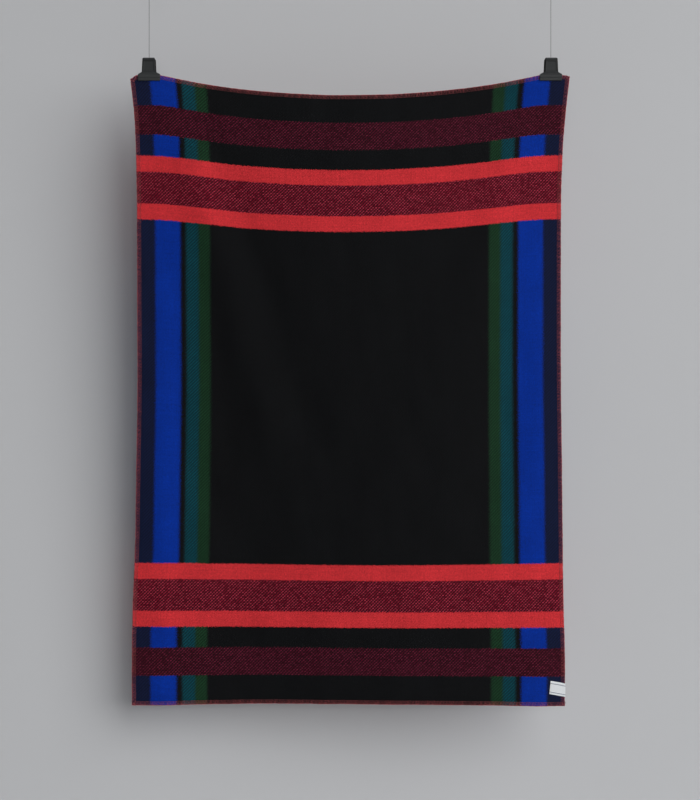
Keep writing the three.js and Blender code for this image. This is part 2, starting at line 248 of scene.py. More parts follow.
sides = {"left": -wire["x"], "right": wire["x"]}
wires = {side: makeWire(side, x) for side, x in sides.items()}
print("wires made")


# Blanket: the hang of the solid, in millimetres, on a finer grid

cloth = {
    "width": 1400,
    "length": 2000,
    "thick": 3.0,
    "topZ": -279.5,
    "stretch": 1.0012,
    "setBack": 22,
    "holdReach": 220,
    "sagHalfWidth": 604,
    "sagBlur": 0.22,
    "sagBlurReach": 260,
    "droopLeft": 11,  # of the corners outside the clips
    "droopRight": 4,
    "droopStart": 20,
    "droopReach": 160,
    "cellsAcross": 146,
    "cellsDown": 208,
    "rimLines": [0.5, 2.0, 4.5, 8.0, 11.0, 15.0],  # closer grid lines, in from each edge
    "rimHalfThick": 1.1,  # under the edge stitches
    "rimWidth": 13,
    "rimSoft": 5,
}

ripple = {"count": 18, "height": 0.5, "lengths": (70, 260), "lean": 0.45, "seed": 11}

edgeWave = {
    "height": 1.3,
    "reach": 28,
    "side": {"length": 21.3, "unevenness": 1.1, "over": 97},
    "hem": {"length": 19.7, "unevenness": 1.3, "over": 83},
}

clipHold = {"flatX": 642.5, "halfFlat": 37.5, "downFlat": 24}

hangRows = [
    {"down": 0, "left": 697, "right": 697, "sag": 66},
    {"down": 60, "left": 690, "right": 690, "sag": 62},
    {"down": 140, "left": 684, "right": 683, "sag": 58},
    {"down": 240, "left": 681, "right": 676, "sag": 54},
    {"down": 400, "left": 678, "right": 671, "sag": 47},
    {"down": 700, "left": 677, "right": 670, "sag": 37},
    {"down": 1000, "left": 676, "right": 670, "sag": 24},
    {"down": 1250, "left": 680, "right": 673, "sag": 14},
    {"down": 1500, "left": 684, "right": 675, "sag": 6},
    {"down": 1700, "left": 692, "right": 678, "sag": 1},
    {"down": 1850, "left": 694, "right": 682, "sag": -3},
    {"down": 2000, "left": 694, "right": 682, "sag": -7},
]

# Each fold: height, half width at each end of its crest, the shares of its length over which it
# grows and fades, and the crest's ends on the flat cloth
folds = [
    {"name": "belly", "height": 52, "widths": (330, 330), "ease": (0.25, 0.35),
     "ends": ((-110, -700), (420, 2700))},
    {"name": "left arm", "height": 13, "widths": (36, 62), "ease": (0.28, 0.42),
     "ends": ((-590, 30), (-110, 1600))},
    {"name": "left lee", "height": -7, "widths": (38, 62), "ease": (0.3, 0.45),
     "ends": ((-470, 40), (10, 1560))},
    {"name": "left foot", "height": -7, "widths": (50, 100), "ease": (0.3, 0.4),
     "ends": ((-640, 300), (-460, 1600))},
    {"name": "right arm", "height": 12, "widths": (38, 95), "ease": (0.3, 0.5),
     "ends": ((592, 40), (230, 1350))},
    {"name": "right foot", "height": -6, "widths": (50, 80), "ease": (0.3, 0.4),
     "ends": ((612, 500), (440, 1600))},
    {"name": "left drop", "height": 7, "widths": (32, 44), "ease": (0.25, 0.2),
     "ends": ((-616, 200), (-604, 2500))},
    {"name": "right drop", "height": 6, "widths": (32, 48), "ease": (0.25, 0.2),
     "ends": ((622, 260), (606, 2500))},
    {"name": "left low", "height": -7, "widths": (90, 99), "ease": (0.3, 0.2),
     "ends": ((-330, 1150), (-290, 2500))},
    {"name": "right low", "height": -6, "widths": (90, 110), "ease": (0.35, 0.2),
     "ends": ((330, 1350), (380, 2500))},
    {"name": "swag", "height": -9, "widths": (330, 200), "ease": (0.25, 0.7),
     "ends": ((0, -120), (-20, 420))},
]


def tableAt(rows, column, down):
    # smooth curve through one column of a table
    at = np.array([row["down"] for row in rows], dtype=float)
    value = np.array([row[column] for row in rows], dtype=float)
    count = len(rows)
    low = np.maximum(np.arange(count) - 1, 0)
    high = np.minimum(np.arange(count) + 1, count - 1)
    slope = (value[high] - value[low]) / (at[high] - at[low])
    i = np.clip(np.searchsorted(at, down, side="right") - 1, 0, count - 2)
    span = at[i + 1] - at[i]
    k = np.clip((down - at[i]) / span, 0, 1)
    start = (2 * k**3 - 3 * k**2 + 1) * value[i] + (k**3 - 2 * k**2 + k) * span * slope[i]
    end = (3 * k**2 - 2 * k**3) * value[i + 1] + (k**3 - k**2) * span * slope[i + 1]
    return start + end


def foldHeight(fold, across, down):
    (fromX, fromDown), (toX, toDown) = fold["ends"]
    runX = toX - fromX
    runDown = toDown - fromDown
    length = math.hypot(runX, runDown)
    along = ((across - fromX) * runX + (down - fromDown) * runDown) / length**2
    aside = ((across - fromX) * runDown - (down - fromDown) * runX) / length
    width = fold["widths"][0] + (fold["widths"][1] - fold["widths"][0]) * np.clip(along, 0, 1)
    window = smooth(along / fold["ease"][0]) * smooth((1 - along) / fold["ease"][1])
    return fold["height"] * window * np.exp(-(aside**2) / (2 * width**2))


def makeRipples():
    # faint uneven waves, mostly upright, that the coarse solid can't hold
    rng = np.random.default_rng(ripple["seed"])
    waves = []
    for n in range(ripple["count"]):
        length = rng.uniform(*ripple["lengths"])
        lean = rng.normal(0, ripple["lean"])
        waves.append({
            "x": 2 * math.pi * math.cos(lean) / length,
            "down": 2 * math.pi * math.sin(lean) / length,
            "phase": rng.uniform(0, 2 * math.pi),
            "height": ripple["height"] * length / ripple["lengths"][1],
        })
    return waves


ripples = makeRipples()


def rippleHeight(across, down):
    total = 0
    for wave in ripples:
        phase = across * wave["x"] + down * wave["down"] + wave["phase"]
        total = total + wave["height"] * np.sin(phase)
    return total


def unevenWave(place, wave, shift=0):
    return np.sin(place / wave["length"] + wave["unevenness"] * np.sin(place / wave["over"]) + shift)


def edgeWaveHeight(across, down):
    # the stitched edge is a little longer than the cloth, so it waves slightly
    side = np.exp(-(cloth["width"] / 2 - np.abs(across)) / edgeWave["reach"])
    hem = np.exp(-(cloth["length"] - down) / edgeWave["reach"])
    alongSide = unevenWave(down, edgeWave["side"], np.sign(across))
    alongHem = unevenWave(across, edgeWave["hem"])
    return edgeWave["height"] * (side * alongSide + hem * alongHem)


def awayFromJaws(across, down):
    beside = np.maximum(np.abs(np.abs(across) - clipHold["flatX"]) - clipHold["halfFlat"], 0)
    below = np.maximum(down - clipHold["downFlat"], 0)
    return smooth(np.hypot(beside, below) / cloth["holdReach"])


def clothPoint(across, down):
    # where a place on the flat cloth hangs, across from its middle and down from its top
    across, down = np.broadcast_arrays(np.asarray(across, dtype=float), np.asarray(down, dtype=float))
    half = np.where(across < 0, tableAt(hangRows, "left", down), tableAt(hangRows, "right", down))
    dip = 1 - (across / cloth["sagHalfWidth"]) ** 2
    blur = cloth["sagBlur"] * smooth(down / cloth["sagBlurReach"])
    bow = (dip + np.sqrt(dip**2 + blur**2)) / 2
    outside = smooth((np.abs(across) - clipHold["flatX"] - clipHold["halfFlat"]) / cloth["droopStart"])
    droop = np.where(across < 0, cloth["droopLeft"], cloth["droopRight"])
    height = sum(foldHeight(fold, across, down) for fold in folds) - cloth["setBack"]
    height = height + rippleHeight(across, down) + edgeWaveHeight(across, down)
    x = half * across / (cloth["width"] / 2)
    y = -height * awayFromJaws(across, down)
    z = cloth["topZ"] - down * cloth["stretch"] - tableAt(hangRows, "sag", down) * bow
    z = z - droop * outside * (1 - smooth(down / cloth["droopReach"]))
    return np.stack([x, y, z], axis=-1)


def unitVectors(vectors):
    return vectors / np.linalg.norm(vectors, axis=-1, keepdims=True)


def clothAxes(across, down):
    # unit vectors across, up and towards the front
    step = 2.0
    right = clothPoint(across + step, down) - clothPoint(across - step, down)
    up = clothPoint(across, down - step) - clothPoint(across, down + step)
    return unitVectors(right), unitVectors(up), unitVectors(np.cross(right, up))


def clothOffset(across, down, off):
    facing = clothAxes(across, down)[2]
    return clothPoint(across, down) + facing * np.asarray(off)[..., None]


def clothLines(length, cells):
    # grid lines over one length, closer at both edges
    rim = cloth["rimLines"]
    inner = np.linspace(rim[-1], length - rim[-1], cells + 1)[1:-1]
    return np.concatenate([rim, inner, [length - r for r in reversed(rim)]])


def halfThickAt(across, down):
    inside = np.minimum(cloth["width"] / 2 - np.abs(across), np.minimum(down, cloth["length"] - down))
    ramp = smooth((inside - cloth["rimWidth"]) / cloth["rimSoft"])
    return cloth["rimHalfThick"] + (cloth["thick"] / 2 - cloth["rimHalfThick"]) * ramp


def makeBlanket():
    columns = clothLines(cloth["width"], cloth["cellsAcross"]) - cloth["width"] / 2
    rows = clothLines(cloth["length"], cloth["cellsDown"])
    across, down = np.meshgrid(columns, rows)
    half = halfThickAt(across, down)
    front = clothOffset(across, down, half).reshape(-1, 3)
    back = clothOffset(across, down, -half).reshape(-1, 3)
    flat = np.stack([across.ravel(), down.ravel()], axis=-1)
    faces = bothFaces(*across.shape)

    # the rim closes over one more line of points at the true edge
    ring = gridRing(*across.shape)
    edgeX = flat[ring, 0]
    edgeX = np.where(np.abs(edgeX) > columns[-2], np.sign(edgeX) * cloth["width"] / 2, edgeX)
    edgeDown = flat[ring, 1]
    edgeDown = np.where(edgeDown < rows[1], 0, np.where(edgeDown > rows[-2], cloth["length"], edgeDown))
    rim = clothPoint(edgeX, edgeDown)
    behind = across.size
    first = 2 * across.size
    for k in range(len(ring)):
        after = (k + 1) % len(ring)
        faces.append((ring[k], ring[after], first + after, first + k))
        faces.append((ring[after] + behind, ring[k] + behind, first + k, first + after))
    points = np.concatenate([front, back, rim]) * mm
    uv = np.concatenate([flat, flat, np.stack([edgeX, edgeDown], axis=-1)]) * mm
    return meshObject("wool_blanket", points, faces, uv)


blanket = makeBlanket()
print("blanket draped,", len(blanket.data.polygons), "faces")


# Node helpers

def addNode(tree, kind, inputs=None, **settings):
    node = tree.nodes.new(kind)
    for key, value in settings.items():
        setattr(node, key, value)
    for key, value in (inputs or {}).items():
        if isinstance(value, bpy.types.NodeSocket):
            tree.links.new(value, node.inputs[key])
        else:
            node.inputs[key].default_value = value
    return node


def maths(tree, operation, a, b=0.0, c=0.0):
    return addNode(tree, "ShaderNodeMath", {0: a, 1: b, 2: c}, operation=operation).outputs[0]


def newTree(name, kind, inputs, outputs):
    tree = bpy.data.node_groups.new(name, kind)
    for label, socketType, value in inputs:
        socket = tree.interface.new_socket(label, in_out="INPUT", socket_type=socketType)
        if value is not None:
            socket.default_value = value
    for label, socketType in outputs:
        tree.interface.new_socket(label, in_out="OUTPUT", socket_type=socketType)
    return tree, tree.nodes.new("NodeGroupInput"), tree.nodes.new("NodeGroupOutput")


def mapRange(tree, value, low, high, newLow, newHigh):
    # a value's range mapped on a new one and held inside it
    return addNode(tree, "ShaderNodeMapRange", {
        "Value": value, "From Min": low, "From Max": high, "To Min": newLow, "To Max": newHigh,
    }).outputs[0]


def mixValue(tree, factor, a, b):
    return addNode(tree, "ShaderNodeMix", {"Factor": factor, "A": a, "B": b}, data_type="FLOAT").outputs[0]


def mixColour(tree, factor, a, b, blend="MIX"):
    return addNode(tree, "ShaderNodeMix", {0: factor, 6: a, 7: b},
                   data_type="RGBA", blend_type=blend, clamp_factor=True).outputs[2]


def brightened(tree, colour, share):
    # a colour times a value
    tint = addNode(tree, "ShaderNodeCombineColor", {0: share, 1: share, 2: share}).outputs[0]
    return mixColour(tree, 1.0, colour, tint, "MULTIPLY")


def bumpFrom(tree, height, distance):
    return addNode(tree, "ShaderNodeBump", {
        "Height": height, "Distance": distance, "Strength": 1.0,
    }).outputs[0]


def attributeValue(tree, name):
    return addNode(tree, "ShaderNodeAttribute", attribute_name=name).outputs["Fac"]


def useGroup(tree, group, inputs=None):
    return addNode(tree, "ShaderNodeGroup", inputs, node_tree=group).outputs


def linear(red, green, blue):
    # a colour as a picture holds it, 0 to 255, made one that the shader wants
    channels = [c / 255 for c in (red, green, blue)]
    return tuple(c / 12.92 if c <= 0.04045 else ((c + 0.055) / 1.055) ** 2.4 for c in channels) + (1.0,)


def newMaterial(name, **fixed):
    # fixed values go straight on the shader's own sockets
    material = bpy.data.materials.new(name)
    material.use_nodes = True
    tree = material.node_tree
    shader = tree.nodes["Principled BSDF"]
    for label, value in fixed.items():
        shader.inputs[label.replace("_", " ")].default_value = value
    return material, tree, shader


# Overlocked edge: yarn over both faces, a needle line and a purl on the edge, by Geometry Nodes

overlock = {
    "pitch": 4.4,
    "depth": 12.4,  # from the edge to the needle line
    "halfHeight": 1.6,
    "yarnRadius": 0.5,
    "yarnSides": 5,
    "lean": 3.1,
    "looseness": 0.45,
    "seed": 5,
    "wrap": {"points": 17, "turn": 0.985, "flatEnd": 0.62, "flatFace": 0.4},
    "needle": {"points": 6, "radius": 0.46, "length": 1.1, "arch": 1.7, "sunk": 1.1, "inward": 0.93},
    "purl": {"points": 8, "length": 1.35, "outward": 1.2, "sway": 0.55},
    "tones": ((140, 68, 72), (200, 98, 102)),
    "edgeLightAndShade": (0.5, 1.45),  # painted shade and painted highlight: the loops' brightness at the needle line and at the edge
}


def signedPower(tree, value, power):
    size = maths(tree, "POWER", maths(tree, "ABSOLUTE", value), power)
    return maths(tree, "MULTIPLY", maths(tree, "SIGN", value), size)


def strandMesh(tree, count, x, y, z, radius):
    # a yarn along x, y and z, which the caller works out from the strand's own factor
    line = addNode(tree, "GeometryNodeCurvePrimitiveLine", {"End": (1, 0, 0)})
    fine = addNode(tree, "GeometryNodeResampleCurve", {"Curve": line.outputs[0], "Count": count})
    spot = addNode(tree, "ShaderNodeCombineXYZ", {"X": x, "Y": y, "Z": z})
    bent = addNode(tree, "GeometryNodeSetPosition", {
        "Geometry": fine.outputs[0], "Position": spot.outputs[0],
    })
    ring = addNode(tree, "GeometryNodeCurvePrimitiveCircle", {
        "Resolution": overlock["yarnSides"], "Radius": radius,
    })
    return addNode(tree, "GeometryNodeCurveToMesh", {
        "Curve": bent.outputs[0], "Profile Curve": ring.outputs[0], "Fill Caps": True,
    }).outputs[0]


stitchSizes = {
    "Pitch": overlock["pitch"] * mm,
    "Depth": overlock["depth"] * mm,
    "Half Height": overlock["halfHeight"] * mm,
    "Yarn Radius": overlock["yarnRadius"] * mm,
    "Lean": overlock["lean"] * mm,
    "Looseness": overlock["looseness"] * mm,
}


def overlockTree():
    inputs = [("Geometry", "NodeSocketGeometry", None)]
    inputs += [(name, "NodeSocketFloat", size) for name, size in stitchSizes.items()]
    inputs += [("Seed", "NodeSocketInt", overlock["seed"]), ("Yarn", "NodeSocketMaterial", None)]
    tree, given, result = newTree(
        "overlockStitches", "GeometryNodeTree", inputs, [("Geometry", "NodeSocketGeometry")])
    pitch = given.outputs["Pitch"]
    depth = given.outputs["Depth"]
    high = given.outputs["Half Height"]
    radius = given.outputs["Yarn Radius"]
    factor = addNode(tree, "GeometryNodeSplineParameter").outputs["Factor"]
    centred = maths(tree, "SUBTRACT", factor, 0.5)

    # over the front, round the edge and back under the cloth, as a flattened oval
    shape = overlock["wrap"]
    angle = maths(tree, "MULTIPLY", centred, -2 * math.pi * shape["turn"])
    squareCosine = signedPower(tree, maths(tree, "COSINE", angle), shape["flatEnd"])
    squareSine = signedPower(tree, maths(tree, "SINE", angle), shape["flatFace"])
    outward = maths(tree, "MULTIPLY_ADD", squareCosine, 0.5, -0.5)
    leaning = maths(tree, "MULTIPLY", outward, given.outputs["Lean"])
    wrap = strandMesh(
        tree, shape["points"],
        maths(tree, "MULTIPLY_ADD", centred, pitch, leaning),
        maths(tree, "MULTIPLY", outward, depth),
        maths(tree, "MULTIPLY", squareSine, high), radius)

    # needle thread, one low arch a stitch, on both faces
    shape = overlock["needle"]
    arch = maths(tree, "SINE", maths(tree, "MULTIPLY", factor, math.pi))
    archFoot = maths(tree, "SUBTRACT", high, maths(tree, "MULTIPLY", radius, shape["sunk"]))
    archRise = maths(tree, "MULTIPLY", radius, shape["arch"])
    archHeight = maths(tree, "MULTIPLY_ADD", arch, archRise, archFoot)
    atNeedle = maths(tree, "MULTIPLY", centred, maths(tree, "MULTIPLY", pitch, shape["length"]))
    inward = maths(tree, "MULTIPLY", depth, -shape["inward"])
    needle = strandMesh(
        tree, shape["points"],
        maths(tree, "SUBTRACT", atNeedle, given.outputs["Lean"]),
        inward, archHeight, maths(tree, "MULTIPLY", radius, shape["radius"]))
    needleBack = addNode(tree, "GeometryNodeTransform", {
        "Geometry": needle, "Rotation": (0, math.pi, 0),
    })

    # purl, a small chain link lying on the edge
    shape = overlock["purl"]
    sway = maths(tree, "COSINE", maths(tree, "MULTIPLY", factor, 2 * math.pi))
    purl = strandMesh(
        tree, shape["points"],
        maths(tree, "MULTIPLY", centred, maths(tree, "MULTIPLY", pitch, shape["length"])),
        maths(tree, "MULTIPLY", arch, maths(tree, "MULTIPLY", radius, shape["outward"])),
        maths(tree, "MULTIPLY", sway, maths(tree, "MULTIPLY", high, shape["sway"])), radius)

    stitch = addNode(tree, "GeometryNodeJoinGeometry")
    for part in (wrap, needle, needleBack.outputs[0], purl):
        tree.links.new(part, stitch.inputs[0])
    position = addNode(tree, "GeometryNodeInputPosition").outputs[0]
    spot = addNode(tree, "ShaderNodeSeparateXYZ", {0: position})
    marked = addNode(tree, "GeometryNodeStoreNamedAttribute", {
        "Geometry": stitch.outputs[0], "Name": "edgeShare",
        "Value": maths(tree, "ADD", maths(tree, "DIVIDE", spot.outputs[1], depth), 1.0),
    }, data_type="FLOAT", domain="POINT")
    axes = {}
    for label, name in (("Primary Axis", "facing"), ("Secondary Axis", "along")):
        axis = addNode(tree, "GeometryNodeInputNamedAttribute", {"Name": name}, data_type="FLOAT_VECTOR")
        axes[label] = axis.outputs[0]
    turn = addNode(tree, "FunctionNodeAxesToRotation", axes, primary_axis="Z", secondary_axis="X")
    placed = addNode(tree, "GeometryNodeInstanceOnPoints", {
        "Points": given.outputs["Geometry"], "Instance": marked.outputs[0], "Rotation": turn.outputs[0],
    })
    loose = addNode(tree, "FunctionNodeRandomValue", {
        "Min": (-1, -1, 0), "Max": (1, 1, 0), "Seed": given.outputs["Seed"],
    }, data_type="FLOAT_VECTOR")
    shift = addNode(tree, "ShaderNodeVectorMath", {0: loose.outputs[0]}, operation="SCALE")
    tree.links.new(given.outputs["Looseness"], shift.inputs["Scale"])
    moved = addNode(tree, "GeometryNodeTranslateInstances", {
        "Instances": placed.outputs[0], "Translation": shift.outputs[0],
    })
    tone = addNode(tree, "FunctionNodeRandomValue", {"Seed": given.outputs["Seed"]}, data_type="FLOAT")
    toned = addNode(tree, "GeometryNodeStoreNamedAttribute", {
        "Geometry": moved.outputs[0], "Name": "yarnTone", "Value": tone.outputs[1],
    }, data_type="FLOAT", domain="INSTANCE")
    real = addNode(tree, "GeometryNodeRealizeInstances", {"Geometry": toned.outputs[0]})
    rounded = addNode(tree, "GeometryNodeSetShadeSmooth", {"Geometry": real.outputs[0]})
    painted = addNode(tree, "GeometryNodeSetMaterial", {
        "Geometry": rounded.outputs[0], "Material": given.outputs["Yarn"],
    })
    tree.links.new(painted.outputs[0], result.inputs[0])
    return tree


def edgeSpots(edge):
    # stitch places along one edge: across and down on the flat cloth
    half = cloth["width"] / 2
    length = cloth["length"]
    if edge in ("top", "bottom"):
        count = int(round(cloth["width"] / overlock["pitch"]))
        across = (np.arange(count) + 0.5) / count * cloth["width"] - half
        down = np.full(count, 0.0 if edge == "top" else length)
    else:
        count = int(round(length / overlock["pitch"]))
        down = (np.arange(count) + 0.5) / count * length
        across = np.full(count, -half if edge == "left" else half)
    return across, down


def makeOverlock(edge, tree, yarn):
    across, down = edgeSpots(edge)
    right, up, facing = clothAxes(across, down)
    along = {"top": right, "bottom": -right, "left": up, "right": -up}[edge]
    mesh = bpy.data.meshes.new(f"{edge}_overlock")
    mesh.from_pydata([tuple(p) for p in clothPoint(across, down) * mm], [], [])
    for name, vectors in (("along", along), ("facing", facing)):
        attribute = mesh.attributes.new(name, "FLOAT_VECTOR", "POINT")
        attribute.data.foreach_set("vector", vectors.astype(np.float32).ravel())
    path = addObject(f"{edge}_overlock_path", mesh)
    modifier = path.modifiers.new("stitches", "NODES")
    modifier.node_group = tree
    values = {**stitchSizes, "Seed": overlock["seed"], "Yarn": yarn}
    for item in tree.interface.items_tree:
        if item.in_out == "INPUT" and item.name in values:
            modifier[item.identifier] = values[item.name]
    return plainResult(path, f"{edge}_overlock_stitches")


# Shader groups that several materials share

def fibreGroup():
    # fine hairs and soft blotches of brushed wool, from flat coordinates in metres
    tree, given, result = newTree("woolFibre", "ShaderNodeTree", [
        ("Vector", "NodeSocketVector", None),
        ("Hair Scale", "NodeSocketFloat", 420.0),
        ("Blotch Scale", "NodeSocketFloat", 9.0),
    ], [("Hair", "NodeSocketFloat"), ("Blotch", "NodeSocketFloat")])
    stretched = addNode(tree, "ShaderNodeVectorMath", {
        0: given.outputs["Vector"], 1: (1.0, 0.34, 1.0),
    }, operation="MULTIPLY")
    hair = addNode(tree, "ShaderNodeTexNoise", {
        "Vector": stretched.outputs[0], "Scale": given.outputs["Hair Scale"],
        "Detail": 3.0, "Roughness": 0.62, "Distortion": 0.7,
    })
    blotch = addNode(tree, "ShaderNodeTexNoise", {
        "Vector": given.outputs["Vector"], "Scale": given.outputs["Blotch Scale"],
        "Detail": 4.0, "Roughness": 0.6,
    })
    tree.links.new(hair.outputs["Fac"], result.inputs["Hair"])
    tree.links.new(blotch.outputs["Fac"], result.inputs["Blotch"])
    return tree


def wearGroup():
    # speckle and faint scuffs of a handled hard surface, from Object coordinates
    tree, given, result = newTree("surfaceWear", "ShaderNodeTree", [
        ("Grain Scale", "NodeSocketFloat", 900.0),
        ("Scuff Scale", "NodeSocketFloat", 60.0),
    ], [("Grain", "NodeSocketFloat"), ("Scuff", "NodeSocketFloat")])
    where = addNode(tree, "ShaderNodeTexCoord").outputs["Object"]
    grain = addNode(tree, "ShaderNodeTexNoise", {
        "Vector": where, "Scale": given.outputs["Grain Scale"], "Detail": 2.0,
    })
    scuff = addNode(tree, "ShaderNodeTexNoise", {
        "Vector": where, "Scale": given.outputs["Scuff Scale"],
        "Detail": 6.0, "Roughness": 0.7, "Distortion": 0.4,
    })
    sharp = mapRange(tree, scuff.outputs["Fac"], 0.45, 0.7, 0.0, 1.0)
    tree.links.new(grain.outputs["Fac"], result.inputs["Grain"])
    tree.links.new(sharp, result.inputs["Scuff"])
    return tree


woolFibre = fibreGroup()
surfaceWear = wearGroup()


# Plaid of the blanket: stripes in from each side edge and bands in from each end, the same at
# both sides and both ends, each with its width in millimetres

plaid = {
    "yarnPitch": 2.6,
    "fuzzAcross": 15.0,  # how far brushing blurs a colour's border
    "fuzzDown": 5.0,
    "weaveShown": {"ground": 0.42, "band": 0.74},  # the rest is covered by the nap
    "floatTone": {"ground": 0.24, "band": 0.7},  # how uneven the single floats are
    "colours": {
        "black": (12, 13, 15),
        "blue": (0, 48, 154),
        "navy": (20, 32, 74),
        "teal": (4, 84, 97),
        "green": (30, 74, 44),
        "wine": (80, 2, 31),
        "burgundy": (132, 8, 40),
        "coral": (216, 52, 58),
    },
    "stripes": [
        {"width": 60, "warp": "navy", "weft": "black"},
        {"width": 80, "warp": "blue", "weft": "blue"},
        {"width": 20, "warp": "black", "weft": "black"},
        {"width": 40, "warp": "teal", "weft": "black"},
        {"width": 40, "warp": "green", "weft": "black"},
        {"width": 0, "warp": "black", "weft": "black"},
    ],
    "bands": [
        {"width": 90, "yarn": "black", "weave": "ground"},
        {"width": 90, "yarn": "wine", "weave": "twill"},
        {"width": 70, "yarn": "black", "weave": "ground"},
        {"width": 50, "yarn": "coral", "weave": "full"},
        {"width": 100, "yarn": "burgundy", "weave": "twill"},
        {"width": 50, "yarn": "coral", "weave": "full"},
        {"width": 0, "yarn": "black", "weave": "ground"},
    ],
}


wool = {
    "specular": 0.08,
    "sheen": 0.035,
    "sheenRoughness": 0.6,
    "sheenTone": (150, 150, 155),
    "hairTone": (0.82, 1.14),
    "blotchTone": (0.93, 1.07),
    "streakTone": (0.91, 1.09),
    "palerBy": 2.2,  # hairs that stand up, and the twill's crossings as a painted highlight, times their yarn
    "standShare": 0.2,
    "crossingSaturation": 0.93,
    "roughness": (0.55, 0.75),
    "napHeight": 1.3,  # against the roundness of a yarn
    "napDepth": 0.5,
}


def stepRamp(tree, factor, rows, colourOf, reach):
    # a ramp of hard steps, one for each row, over reach millimetres
    node = addNode(tree, "ShaderNodeValToRGB", {"Fac": factor})
    ramp = node.color_ramp
    ramp.interpolation = "CONSTANT"
    start = 0
    for n, row in enumerate(rows):
        place = start / reach
        element = ramp.elements[n] if n < 2 else ramp.elements.new(place)
        element.position = place
        element.color = colourOf(row)
        start += row["width"]
    return node.outputs["Color"]


def clothCoordinates(tree):
    where = addNode(tree, "ShaderNodeUVMap", uv_map="cloth").outputs[0]
    parts = addNode(tree, "ShaderNodeSeparateXYZ", {0: where}).outputs
    return where, parts[0], parts[1]


def inwardShare(tree, fromMiddle, half):
    # 0 at an edge of the cloth, 1 at its middle line
    inward = maths(tree, "SUBTRACT", half, maths(tree, "ABSOLUTE", fromMiddle))
    return maths(tree, "DIVIDE", inward, half)


def strayed(tree, place, noise, reach):
    # a place moved by a noise, which keeps near its middle, so it is stretched
    return maths(tree, "MULTIPLY_ADD", maths(tree, "SUBTRACT", noise, 0.5), 3 * reach * mm, place)


def plaidColours(tree, across, down, stray):
    # warp and weft where there is no band, a band's own colour, and masks of where the bands are
    halfWidth = cloth["width"] / 2
    halfLength = cloth["length"] / 2
    fromMiddle = maths(tree, "SUBTRACT", strayed(tree, down, stray[1], plaid["fuzzDown"]), halfLength * mm)
    sideShare = inwardShare(tree, strayed(tree, across, stray[0], plaid["fuzzAcross"]), halfWidth * mm)
    endShare = inwardShare(tree, fromMiddle, halfLength * mm)
    colours = {name: linear(*value) for name, value in plaid["colours"].items()}

    def bandRamp(colourOf):
        return stepRamp(tree, endShare, plaid["bands"], colourOf, halfLength)

    def bandMask(*weaves):
        white = (1, 1, 1, 1)
        dark = (0, 0, 0, 1)
        return bandRamp(lambda row: white if row["weave"] in weaves else dark)

    return {
        "warp": stepRamp(tree, sideShare, plaid["stripes"], lambda row: colours[row["warp"]], halfWidth),
        "weft": stepRamp(tree, sideShare, plaid["stripes"], lambda row: colours[row["weft"]], halfWidth),
        "band": bandRamp(lambda row: colours[row["yarn"]]),
        "underBand": colours["black"],
        "isBand": bandMask("twill", "full"),
        "isFull": bandMask("full"),
    }


def yarnStreaks(tree, across, down):
    # threads a little lighter or darker over a long way, along the warp and along the weft
    tones = []
    for thread, along in ((across, down), (down, across)):
        spot = addNode(tree, "ShaderNodeCombineXYZ", {
            "X": maths(tree, "MULTIPLY", thread, 330.0), "Y": maths(tree, "MULTIPLY", along, 9.0),
        }).outputs[0]
        noise = addNode(tree, "ShaderNodeTexNoise", {"Vector": spot, "Scale": 1.0, "Detail": 2.0})
        tones.append(mapRange(tree, noise.outputs["Fac"], 0.25, 0.75, *wool["streakTone"]))
    return maths(tree, "MULTIPLY", tones[0], tones[1])


def twoInFour(tree, count):
    return maths(tree, "LESS_THAN", maths(tree, "FLOORED_MODULO", count, 4.0), 1.5)


def roundYarn(tree, count):
    return maths(tree, "SINE", maths(tree, "MULTIPLY", maths(tree, "FRACT", count), math.pi))


def cellNoise(tree, column, row):
    # one random value for each cell of a grid
    cell = addNode(tree, "ShaderNodeCombineXYZ", {"X": column, "Y": row}).outputs[0]
    return addNode(tree, "ShaderNodeTexWhiteNoise", {"Vector": cell}, noise_dimensions="2D").outputs["Value"]


def twillWeave(tree, across, down):
    # 2/2 twill: which of warp and weft lies on top, each float's tone, the crossings of its
    # diagonals that get a painted highlight, and the yarns' roundness
    pitch = plaid["yarnPitch"] * mm
    warpCount = maths(tree, "DIVIDE", across, pitch)
    weftCount = maths(tree, "DIVIDE", down, pitch)
    warpNumber = maths(tree, "FLOOR", warpCount)
    weftNumber = maths(tree, "FLOOR", weftCount)
    rising = maths(tree, "ADD", warpNumber, weftNumber)
    falling = maths(tree, "SUBTRACT", warpNumber, weftNumber)
    onTop = twoInFour(tree, rising)
    crossing = maths(tree, "MULTIPLY", twoInFour(tree, falling), onTop)
    corners = [maths(tree, "FLOOR", maths(tree, "MULTIPLY", count, 0.25)) for count in (rising, falling)]
    return {
        "onTop": onTop,
        "tone": cellNoise(tree, warpNumber, weftNumber),
        "litCrossings": mapRange(tree, cellNoise(tree, *corners), 0.15, 0.5, 0.0, crossing),
        "relief": mixValue(tree, onTop, roundYarn(tree, warpCount), roundYarn(tree, weftCount)),
    }


